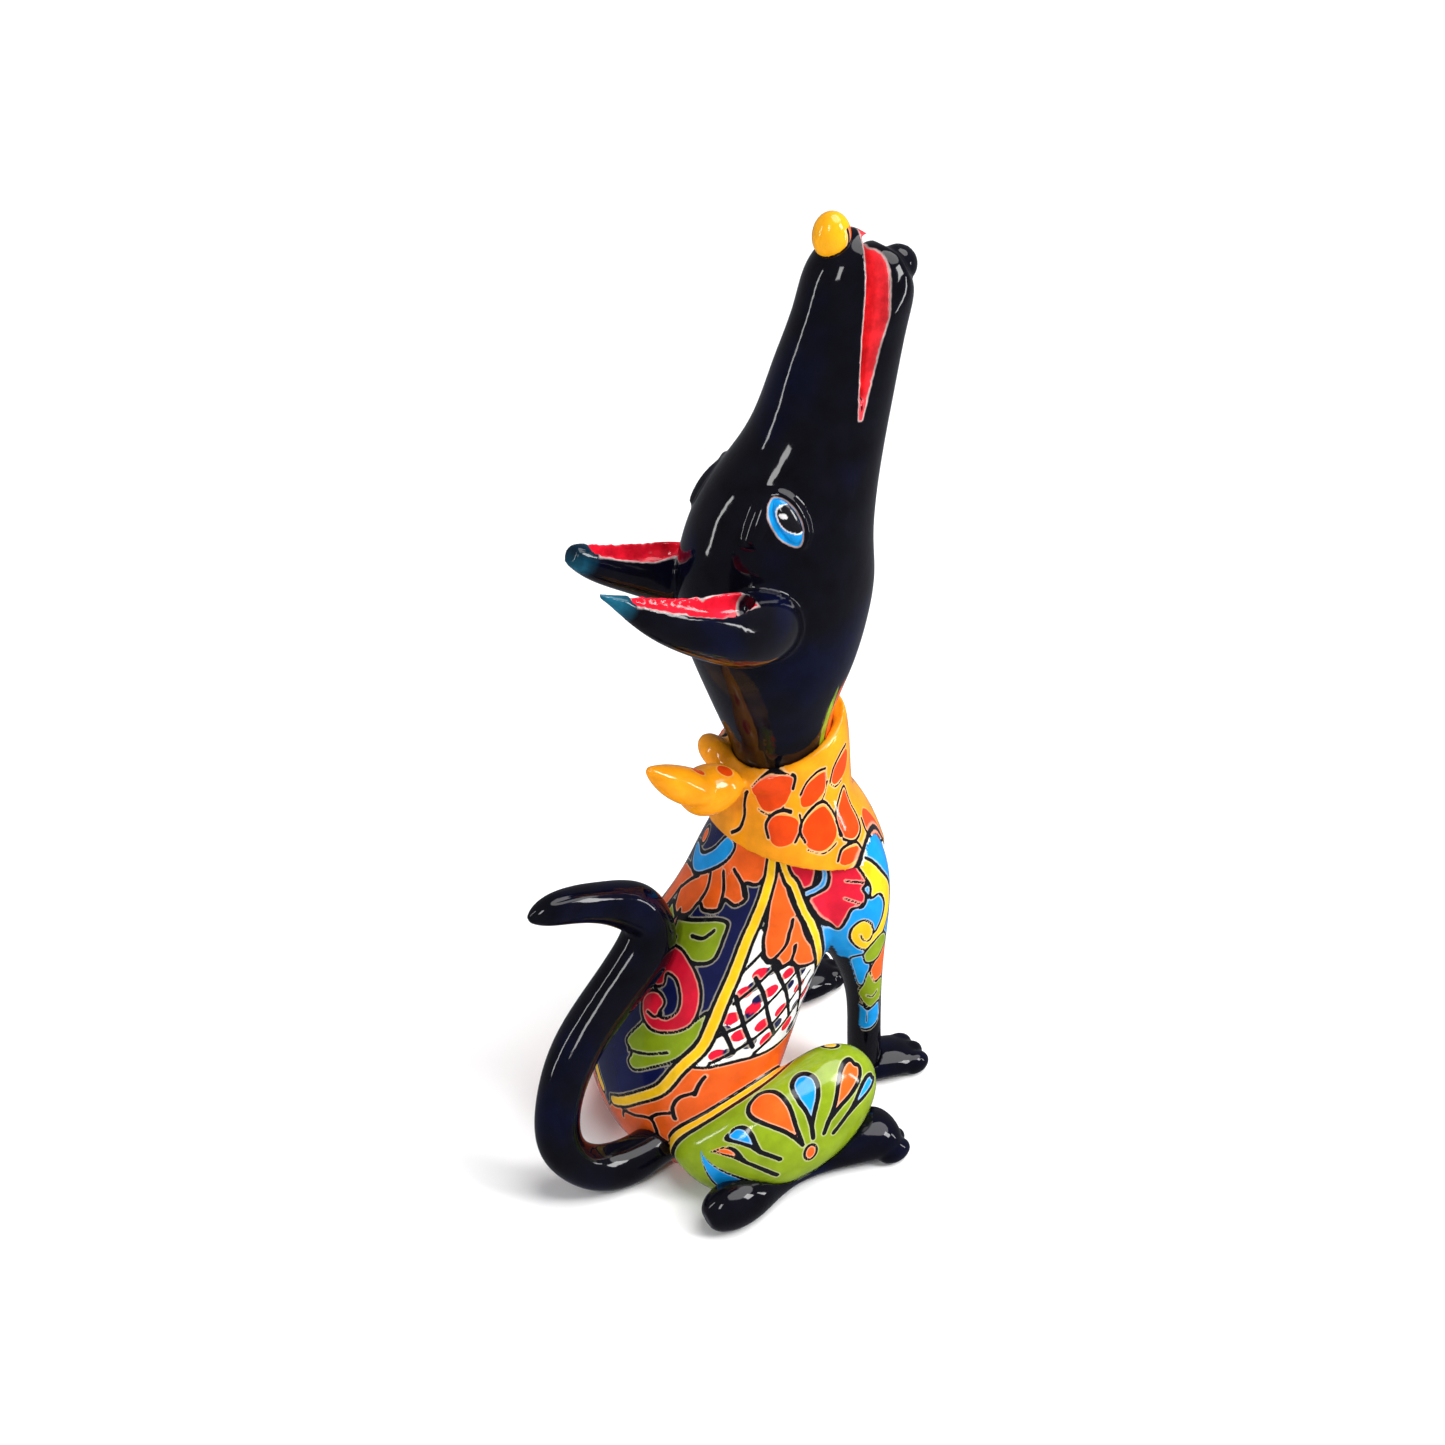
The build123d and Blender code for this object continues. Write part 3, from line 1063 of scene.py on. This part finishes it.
    def paint_thigh(self, canvas: Canvas, p: np.ndarray, only: np.ndarray, edge: np.ndarray) -> None:
        """Paints the haunches: green, a yellow border and petals that fall to the middle.

        Args:
            canvas: The canvas to paint on.
            p: The mesh points in millimetres.
            only: The points that belong to this region.
            edge: Signed distance to the haunch's edge, negative inside.
        """
        brush = Brush(canvas, thigh_uv(p), only, 1.3)
        canvas.tint[only] = Pigment.GREEN.value
        canvas.clear(only)
        self.petal(brush, (-1, 49), (-15, 86), 21, Pigment.ORANGE)
        self.petal(brush, (7.5, 58), (13, 84), 15.5, Pigment.SKY, (7, 50))
        self.petal(brush, (19.5, 57), (46, 79), 13, Pigment.ORANGE, (15, 50))
        self.petal(brush, (34, 55), (58, 69), 8.5, Pigment.SKY, (22, 47))
        self.petal(brush, (-27, 51), (-36, 75), 11, Pigment.SKY, (-16, 42))
        self.petal(brush, (-36, 43), (-46, 59), 9, Pigment.ORANGE, (-18, 29))
        brush.spot((4.5, 40), 4.4, Pigment.ORANGE, 1.0, 1.3)
        brush.shape(
            [(-26, 18), (-38, 10), (-50, 6), (-60, 12), (-58, 22), (-48, 27), (-36, 25)], Pigment.SKY, 1.3,
        )
        brush.spot((45, 101), 5.0, Pigment.YELLOW, 1.1)
        rim = only & (edge > -self.haunch_rim)
        canvas.tint[rim] = Pigment.YELLOW.value
        canvas.clear(rim)
        canvas.lay(edge + self.haunch_rim, None, 1.5, only)
        canvas.lay(edge, None, 1.6)

    @staticmethod
    def petal(
        brush: Brush, tip: Point, head: Point, width: float, pigment: Pigment, tail: Point | None = None,
    ) -> None:
        """Paints one petal with the black stroke that leads from it to the middle.

        Args:
            brush: The brush of this haunch.
            tip: The petal's pointed end.
            head: The middle of its round end.
            width: Its full width.
            pigment: Its colour.
            tail: Where the stroke that leads to it starts, if there is one.
        """
        if tail is not None:
            brush.stroke([tail, ((tail[0] + tip[0]) / 2, (tail[1] + tip[1]) / 2), tip], 3.4)
        brush.drop(tip, head, width, pigment, 1.5)


@dataclass
class Neckerchief(Clay):
    """The neckerchief with its knot, in amber with orange spots."""

    name: str = "scarf"
    nodes: tuple[str, ...] = ("neckerchief", "knot", "knot_point", "knot_end")
    material_slot: str = "amber_glaze"
    glaze: Glaze = SCARF_GLAZE
    voxel: float = 1.3

    def paint(self) -> Canvas:
        """Paints the spots and the folds.

        Returns:
            The painted canvas.
        """
        p = self.points()
        canvas = Canvas(len(p))
        canvas.tint[:] = Pigment.AMBER.value
        uv = scarf_uv(p)
        cloth = node_distance(p, ["neckerchief"], 12.0) < 1.5
        both = np.column_stack([np.abs(uv[:, 0]), uv[:, 1]])
        brush = Brush(canvas, both, cloth, 1.0)
        for spot in (
            [
                (31, 251), (35, 257), (43, 260), (55, 261), (63, 260), (64, 252), (60, 243), (52, 238),
                (42, 237), (34, 243),
            ],
            [(74, 248), (82, 254), (97, 257), (97, 247), (90, 242), (82, 239), (74, 239), (72, 243)],
            [(105, 252), (112, 258), (130, 262), (133, 256), (126, 249), (116, 246), (107, 246)],
            [(46, 230), (50, 234), (58, 235), (68, 233), (70, 227), (64, 219), (53, 216), (48, 221)],
            [(72, 226), (80, 234), (93, 236), (99, 226), (96, 218), (85, 212), (75, 215)],
            [(102, 226), (108, 232), (121, 238), (121, 224), (119, 214), (110, 211), (102, 216)],
            [(133, 218), (140, 214), (146, 200), (146, 188), (136, 192), (127, 204), (127, 214)],
            [(93, 203), (99, 207), (110, 205), (111, 199), (103, 197), (95, 198)],
            [(160, 226), (164, 238), (176, 242), (186, 238), (186, 224), (172, 218)],
            [(150, 168), (154, 180), (166, 184), (176, 178), (174, 166), (162, 160)],
            [(158, 200), (162, 208), (172, 211), (180, 206), (178, 196), (166, 192)],
        ):
            brush.shape(spot, Pigment.SPOT, 0.0)
        for stroke, width in (
            ([(31, 253), (36, 258), (44, 261), (55, 262), (62, 261)], 1.2),
            ([(63, 261), (66, 259), (65, 251)], 2.8),
            ([(37, 237), (44, 235), (52, 236), (58, 240)], 1.1),
            ([(72, 246), (78, 254), (88, 259), (98, 259)], 2.0),
            ([(98, 257), (98, 247), (92, 240), (84, 238)], 1.1),
            ([(103, 249), (108, 257), (120, 263), (132, 265)], 2.0),
            ([(100, 250), (108, 244), (118, 245)], 1.1),
            ([(47, 221), (45, 229), (49, 235), (57, 238), (64, 237)], 2.4),
            ([(71, 235), (72, 228), (66, 219)], 1.8),
            ([(73, 219), (71, 228), (79, 236), (93, 239), (101, 229), (99, 217)], 2.0),
            ([(74, 214), (84, 210), (95, 214)], 1.1),
            (
                [
                    (101, 216), (101, 227), (109, 235), (121, 240), (123, 226), (120, 213), (110, 209),
                    (101, 214),
                ],
                1.9,
            ),
            ([(126, 216), (125, 206), (134, 192), (146, 186)], 2.2),
            ([(92, 202), (98, 209), (110, 208), (113, 202)], 2.0),
            ([(27, 248), (24, 243), (24, 238), (26, 230), (23, 221), (15, 215)], 2.6),
        ):
            brush.stroke(stroke, width)
        self.paint_hem(canvas, p)
        self.paint_ties(canvas, p)
        return canvas

    def paint_hem(self, canvas: Canvas, p: np.ndarray) -> None:
        """Paints the bare line where the cloth's hem meets the body.

        Args:
            canvas: The canvas to paint on.
            p: The mesh points in millimetres.
        """
        body = node_distance(
            p, ["body_right_half", "body_left_half", "front_leg_right", "front_leg_left"], 6.0,
        )
        hem = p[:, 2] < 212
        canvas.lay_crisp(body - 1.5, Pigment.WHITE, hem)
        canvas.lay(body - 2.0, None, 0.7, hem)

    def paint_ties(self, canvas: Canvas, p: np.ndarray) -> None:
        """Paints two spots on the knot's ends.

        Args:
            canvas: The canvas to paint on.
            p: The mesh points in millimetres.
        """
        ties = node_distance(p, ["knot", "knot_point", "knot_end"], 12.0) < 1.2
        flat = Brush(canvas, p[:, [0, 1]], ties, 0.9)
        flat.spot((-26, -15), 4.2, Pigment.SPOT, 0.0)
        flat.spot((-8, -16), 4.6, Pigment.SPOT, 0.0)


# The ears' stations along their middle lines: x, y, z, depth and width in millimetres.
EAR_RIGHT = [
    (26, -28, 370, 22, 14),
    (4, -42, 373, 22, 18),
    (-20, -52, 383, 21, 20),
    (-48, -59, 397, 17, 17),
    (-74, -61, 411, 12, 12),
    (-93, -60, 423, 6, 6),
    (-108, -59, 433, 1.5, 1.5),
]
EAR_LEFT = [
    (32, 28, 362, 20, 14),
    (14, 40, 362, 20, 17),
    (-6, 47, 368, 19, 19),
    (-30, 50, 377, 15, 17),
    (-50, 49, 386, 12, 13),
    (-64, 47, 394, 9, 9),
    (-72, 46, 399, 6, 6),
]


@dataclass
class Head(Clay):
    """Neck, head, jaws, ears and lids in one skin."""

    name: str = "dark_head"
    nodes: tuple[str, ...] = (
        "head_right_half",
        "head_left_half",
        "lower_jaw",
        "ear_right",
        "ear_left",
        "brow_right",
        "brow_left",
        "eyelid_right",
        "eyelid_left",
    )
    voxel: float = 1.4
    smooth: int = 8
    plugs: tuple[Plug, ...] = ((44.5, 0, 229, 240, 27),)
    scoop_depth: float = 0.75
    scoop_width: float = 0.66
    scoop_lift: float = 0.70
    mouth_corner: Point = (68.0, 478.0)
    mouth_end: Point = (88.0, 570.0)
    gape: float = 28.0
    mouth_root: float = 15.0
    mouth_slit: float = 0.6
    mouth_deepens: float = 3.0
    mouth_reach: float = 40.0
    coral_spill: float = 0.7
    ear_length: float = 90.0
    lining_root: float = 0.42
    lining_taper: float = 0.22
    lining_spill: float = 1.3
    tip_blend: float = 0.06
    eye: tuple[float, float, float] = (20.0, 34.5, 431.0)

    def paint(self) -> Canvas:
        """Paints ears, mouth, eyes and throat, and a painted brown reflection on the neck.

        Returns:
            The painted canvas.
        """
        p = self.points()
        canvas = Canvas(len(p))
        self.paint_throat(canvas, p)
        self.paint_ear(canvas, p, EAR_RIGHT, 0.38, 0.86)
        self.paint_ear(canvas, p, EAR_LEFT, 0.34, 0.88)
        self.paint_mouth(canvas, p)
        for side in Side:
            self.paint_eye(canvas, p, side)
        return canvas

    def paint_throat(self, canvas: Canvas, p: np.ndarray) -> None:
        """Paints the leaf and the petals down the front of the neck, and a painted brown reflection on both
        sides of the neck near the back.

        Args:
            canvas: The canvas to paint on.
            p: The mesh points in millimetres.
        """
        uv = torso_uv(p)
        uv = np.column_stack([np.abs(uv[:, 0]), uv[:, 1]])
        brush = Brush(canvas, uv, p[:, 2] < 345, 1.1)
        # Painted reflection: a brown patch on both sides of the neck near the back, standing for warm
        # surroundings seen in the dark glaze.
        painted_reflection = [
            (30, 236), (40, 236), (45, 262), (44, 300), (34, 338), (10, 344), (8, 332), (24, 306),
            (28, 264),
        ]
        canvas.tint[inside_outline(uv, smooth_outline(painted_reflection, True))] = Pigment.REFLECTED_BROWN.value
        brush.shape(
            [(105, 250), (104, 280), (108, 305), (122, 322), (150, 330), (190, 330), (190, 250)],
            Pigment.ORANGE, 1.2,
        )
        brush.shape(
            [(97, 250), (96, 275), (99, 300), (106, 318), (110, 300), (107, 272), (105, 250)],
            Pigment.GREEN, 1.2,
        )
        brush.drop((128, 262), (134, 304), 22, Pigment.RED)
        brush.drop((160, 258), (166, 312), 24, Pigment.YELLOW)

    def ear_field(self, p: np.ndarray, stations: list[Station]) -> tuple[np.ndarray, np.ndarray]:
        """Where points lie against an ear's scoop.

        Args:
            p: Points in millimetres.
            stations: The ear's stations.

        Returns:
            Signed distance to the scoop's wall and place along the ear from 0 to 1.
        """
        rows = np.array(stations, float)
        centres = rows[:, :3]
        steps = np.linalg.norm(np.diff(centres, axis=0), axis=1)
        reach = np.concatenate([[0], np.cumsum(steps)]) / steps.sum()
        best = np.full(len(p), 1e9)
        place = np.zeros(len(p))
        for i in range(len(rows) - 1):
            a, b = centres[i], centres[i + 1]
            t = np.clip((p - a) @ (b - a) / ((b - a) @ (b - a)), 0, 1)
            d = np.linalg.norm(p - a - t[:, None] * (b - a), axis=1)
            near = d < best
            best[near] = d[near]
            place[near] = (reach[i] + t * (reach[i + 1] - reach[i]))[near]
        tangent = np.gradient(centres, axis=0)
        along = np.column_stack([np.interp(place, reach, tangent[:, k]) for k in range(3)])
        along /= np.linalg.norm(along, axis=1)[:, None]
        side = np.array([0.0, 1.0, 0.0]) - along * along[:, 1:2]
        side /= np.linalg.norm(side, axis=1)[:, None]
        up = np.cross(side, along)
        axis = np.column_stack([np.interp(place, reach, centres[:, k]) for k in range(3)])
        depth = np.interp(place, reach, rows[:, 3])
        width = np.interp(place, reach, rows[:, 4])
        rel = p - axis - up * (self.scoop_lift * depth)[:, None]
        a = (rel * up).sum(1) / (self.scoop_depth * depth)
        b = (rel * side).sum(1) / (self.scoop_width * width)
        radial = (np.hypot(a, b) - 1.0) * np.minimum(depth * self.scoop_depth, width * self.scoop_width)
        return np.where(best < depth * 2.2, radial, 9.0), place

    def paint_ear(
        self, canvas: Canvas, p: np.ndarray, stations: list[Station], start: float, tip: float,
    ) -> None:
        """Paints one ear: red inside with a pale rim, teal at the tip.

        Args:
            canvas: The head's canvas.
            p: The head's points.
            stations: The ear's stations.
            start: Where along the ear the lining starts, from 0 to 1.
            tip: Where the teal tip starts.
        """
        wall, place = self.ear_field(p, stations)
        ear = (place > 0.04) & (wall < 8.9)
        share = self.lining_root + (1 - self.lining_root) * np.clip(
            (place - start) / self.lining_taper, 0, 1,
        )
        lining = np.maximum(wall - self.lining_spill + (1 - share) * FAR, (start - place) * self.ear_length)
        lining = np.maximum(lining, (place - tip) * self.ear_length)
        canvas.lay_crisp(lining, Pigment.LINING, ear)
        end = (place > tip) & ear
        blend = np.clip((place - tip) / self.tip_blend, 0, 1)[:, None]
        teal = np.array(Pigment.TEAL.value)
        canvas.tint[end] = (canvas.tint * (1 - blend) + teal * blend)[end]

    def paint_mouth(self, canvas: Canvas, p: np.ndarray) -> None:
        """Paints the groove between the jaws red, with a dark line of painted shade along its middle where
        the jaws' walls meet.

        Args:
            canvas: The canvas to paint on.
            p: The mesh points in millimetres.
        """
        low, high = np.array(self.mouth_corner), np.array(self.mouth_end)
        along = (high - low) / np.linalg.norm(high - low)
        noseward = np.array([-along[1], along[0]])
        rel = p[:, [0, 2]] - low
        t, s = rel @ along, rel @ noseward
        share = np.clip(t / np.linalg.norm(high - low), 0, 1.1)
        gape = self.mouth_slit + (self.gape - self.mouth_slit) * share
        root = self.mouth_root * (1 - share) - self.mouth_deepens * share
        out = np.clip((np.abs(p[:, 1]) - root) / (self.mouth_reach - root), 0, 1)
        half = (0.12 + 0.5 * out) * gape
        lining = np.maximum(np.abs(s) - half - self.coral_spill, -t)
        near = (t > -6) & (p[:, 2] > self.mouth_corner[1] - 8)
        canvas.lay_crisp(lining, Pigment.CORAL, near)
        # Painted shade: a dark line along the middle of the groove, where its two walls meet.
        canvas.lay(np.abs(s) - 0.3, None, 0.7, near & (lining < -1))

    def eye_axes(self, side: Side) -> tuple[np.ndarray, np.ndarray, np.ndarray, np.ndarray]:
        """The middle of an eye, the way along its slit, across it and out of it.

        Args:
            side: Which side of the head.

        Returns:
            The middle, then the three directions.
        """
        out = np.array([-0.66, side.value * 0.71, 0.25])
        out /= np.linalg.norm(out)
        slit = np.array([-0.34, side.value * -0.41, 0.85])
        slit -= out * (slit @ out)
        slit /= np.linalg.norm(slit)
        centre = np.array([self.eye[0], side.value * self.eye[1], self.eye[2]])
        return centre, slit, np.cross(out, slit) * -side.value, out

    def paint_eye(self, canvas: Canvas, p: np.ndarray, side: Side) -> None:
        """Paints the blue of one eye where it spreads on the lid.

        Args:
            canvas: The canvas to paint on.
            p: The mesh points in millimetres.
            side: Which side of the head.
        """
        centre, slit, across, out = self.eye_axes(side)
        rel = p - centre
        a, b = rel @ slit, rel @ across
        near = (np.linalg.norm(rel, axis=1) < 30) & (rel @ out > -12)
        brush = Brush(canvas, np.column_stack([a, b]), near, 0.8)
        brush.shape(
            [(-15, 0), (-9, 5.5), (0, 7.4), (9, 5.5), (14.5, 0), (9, -5.5), (0, -7.4), (-9, -5.5)],
            Pigment.SKY, 0.0,
        )


@dataclass
class Eyeballs(Clay):
    """The two almond eyeballs."""

    name: str = "eyes"
    nodes: tuple[str, ...] = ("eyeball_right", "eyeball_left")
    material_slot: str = "blue_glaze"
    glaze: Glaze = PAINTED_GLAZE
    voxel: float = 0.6
    smooth: int = 3
    head: Head = field(default_factory=Head)

    def paint(self) -> Canvas:
        """Paints iris and pupil, with a painted highlight as a thin white edge round the pupil and a
        painted glint on it.

        Returns:
            The painted canvas.
        """
        p = self.points()
        canvas = Canvas(len(p), fine=True)
        canvas.tint[:] = Pigment.SKY.value
        for side in Side:
            centre, slit, across, _ = self.head.eye_axes(side)
            rel = p - centre
            near = np.linalg.norm(rel, axis=1) < 30
            brush = Brush(canvas, np.column_stack([rel @ slit, rel @ across]), near, 0.6)
            # Painted highlight: the white shape left showing round the top and ends of the pupil.
            ring = [(-9.5, -4), (-5, 1.4), (1, 3.4), (7.5, 2.2), (9.5, -2), (6, -8), (-6, -8)]
            brush.shape(ring, Pigment.WHITE, 0.0)
            pupil = [(-8.6, -4), (-4.4, 0.8), (1, 2.6), (7, 1.4), (8.6, -2), (6, -9), (-6, -9)]
            brush.shape(pupil, Pigment.INK, 0.0)
            # Painted highlight: a white glint on the pupil.
            brush.shape([(1.5, -2.0), (3.0, 0.8), (5.4, 1.2), (5.2, -1.2), (3.4, -2.6)], Pigment.WHITE, 0.0)
        return canvas


@dataclass
class NoseButton(Clay):
    """The yellow nose with an orange drop for each nostril."""

    name: str = "nose_button"
    nodes: tuple[str, ...] = ("nose",)
    material_slot: str = "yellow_glaze"
    glaze: Glaze = PAINTED_GLAZE
    voxel: float = 0.7
    smooth: int = 4

    def paint(self) -> Canvas:
        """Paints the nose.

        Returns:
            The painted canvas.
        """
        p = self.points()
        canvas = Canvas(len(p))
        canvas.tint[:] = Pigment.NOSE.value
        both = np.column_stack([p[:, 0], np.abs(p[:, 1])])
        brush = Brush(canvas, both, p[:, 2] < 577, 0.7)
        brush.shape([(73, 2.5), (78, 4), (81, 8), (76, 11), (70, 8), (70, 4)], Pigment.ORANGE, 0.9)
        return canvas


@dataclass
class Feet(Clay):
    """The front paws and hind feet, in bare dark glaze."""

    name: str = "feet"
    nodes: tuple[str, ...] = ("front_paw_right", "front_paw_left", "hind_foot_right", "hind_foot_left")


@dataclass
class CurledTail(Clay):
    """The tail, in bare dark glaze."""

    name: str = "curled_tail"
    nodes: tuple[str, ...] = ("tail",)


# ---------------------------------------------------------------- studio


@dataclass(frozen=True)
class Paper:
    """One plain studio paper."""

    name: str
    settings: dict[str, float | tuple[float, float, float, float]]

    def cover(self, bm: bmesh.types.BMesh) -> bpy.types.Object:
        """Turns built faces into a staged sheet of this paper, unseen in the glaze's gloss.

        Args:
            bm: The faces.

        Returns:
            The sheet.
        """
        obj = scene_object(self.name, bm)
        mat = bpy.data.materials.new(f"{self.name}_paper")
        mat.use_nodes = True
        skin = mat.node_tree.nodes["Principled BSDF"]
        for socket, value in self.settings.items():
            skin.inputs[socket].default_value = value
        obj.data.materials.append(mat)
        obj.visible_glossy = False
        return obj


FLOOR_PAPER = Paper(
    "floor", {"Base Color": (0.94, 0.94, 0.94, 1), "Roughness": 0.95, "Specular IOR Level": 0.1}
)
BACKDROP_PAPER = Paper(
    "backdrop",
    {
        "Base Color": (0, 0, 0, 1),
        "Specular IOR Level": 0.0,
        "Emission Color": (1, 1, 1, 1),
        "Emission Strength": 1.0,
    },
)


@dataclass(frozen=True)
class SoftLight:
    """One rectangular studio lamp."""

    name: str
    place: tuple[float, float, float]
    size: tuple[float, float]
    watts: float

    def hang(self, target: Vector) -> None:
        """Makes the lamp and turns it to the target.

        Args:
            target: What the lamp is turned to.
        """
        lamp = bpy.data.lights.new(self.name, "AREA")
        lamp.shape = "RECTANGLE"
        lamp.size, lamp.size_y = self.size
        lamp.energy = self.watts
        obj = bpy.data.objects.new(self.name, lamp)
        obj.location = self.place
        obj.rotation_euler = (Vector(self.place) - target).to_track_quat("Z", "Y").to_euler()
        bpy.context.scene.collection.objects.link(obj)


@dataclass(frozen=True)
class Studio:
    """Floor, backdrop, lights and camera."""

    azimuth: float = -31.0
    elevation: float = 33.0
    distance: float = 1.1
    lens: float = 46.14
    target: tuple[float, float, float] = (0.01179, 0.0, 0.288)
    floor_half: float = 4.0
    paper_height: float = 5.0

    def back(self) -> Vector:
        """The direction from the target to the camera."""
        az, el = math.radians(self.azimuth), math.radians(self.elevation)
        return Vector((math.sin(az) * math.cos(el), -math.cos(az) * math.cos(el), math.sin(el)))

    def floor(self) -> None:
        """Makes the pale floor."""
        bm = bmesh.new()
        corners = [(-1, -1), (1, -1), (1, 1), (-1, 1)]
        bm.faces.new([bm.verts.new((x * self.floor_half, y * self.floor_half, 0)) for x, y in corners])
        FLOOR_PAPER.cover(bm)

    def backdrop(self) -> None:
        """Makes the plain pale paper round the floor, which lights nothing."""
        bm = bmesh.new()
        reach = self.floor_half * 0.98
        size = {"radius1": reach, "radius2": reach, "depth": self.paper_height}
        bmesh.ops.create_cone(bm, cap_ends=False, segments=96, **size)
        bmesh.ops.translate(bm, verts=bm.verts, vec=(0, 0, self.paper_height / 2))
        sheet = BACKDROP_PAPER.cover(bm)
        sheet.visible_diffuse = False
        sheet.visible_shadow = False

    def lights(self) -> None:
        """Hangs the lamps and sets the dim surroundings."""
        target = Vector(self.target)
        for lamp in (
            SoftLight("window", (1.15, -1.35, 1.55), (0.55, 0.75), 26.0),
            SoftLight("window_far", (-1.5, -1.1, 1.9), (0.35, 0.9), 15.0),
            SoftLight("strip_low", (1.3, -0.9, 0.5), (0.10, 0.7), 4.0),
            SoftLight("strip_back", (-1.4, 0.5, 0.9), (0.10, 1.0), 5.0),
        ):
            lamp.hang(target)
        sun = bpy.data.lights.new("sky_panel", "SUN")
        sun.energy = 3.05
        sun.angle = math.radians(50)
        sun.specular_factor = 0.15
        obj = bpy.data.objects.new("sky_panel", sun)
        obj.rotation_euler = Vector((0.35, -0.15, 1.0)).to_track_quat("Z", "Y").to_euler()
        bpy.context.scene.collection.objects.link(obj)
        world = bpy.data.worlds.new("studio")
        world.use_nodes = True
        world.node_tree.nodes["Background"].inputs[0].default_value = (0.9, 0.92, 1.0, 1)
        world.node_tree.nodes["Background"].inputs[1].default_value = 0.20
        bpy.context.scene.world = world

    def camera(self) -> None:
        """Makes the camera and makes it the scene's."""
        cam = bpy.data.cameras.new("camera")
        cam.lens = self.lens
        cam.sensor_width = 36.0
        cam.dof.use_dof = False
        obj = bpy.data.objects.new("camera", cam)
        back = self.back()
        obj.location = Vector(self.target) + back * self.distance
        obj.rotation_euler = back.to_track_quat("Z", "Y").to_euler()
        bpy.context.scene.collection.objects.link(obj)
        bpy.context.scene.camera = obj

    def build(self) -> None:
        """Makes the whole studio."""
        self.floor()
        self.backdrop()
        self.lights()
        self.camera()
        bpy.context.scene.view_settings.view_transform = "Standard"


def main() -> None:
    """Builds the coyote and the studio."""
    logging.basicConfig(level=logging.INFO, format="%(message)s")
    head = Head()
    for piece in (
        PaintedBody(), head, Eyeballs(head=head), NoseButton(), Feet(), CurledTail(), Neckerchief(),
    ):
        piece.dress()
    Studio().build()


if __name__ == "__main__":
    main()
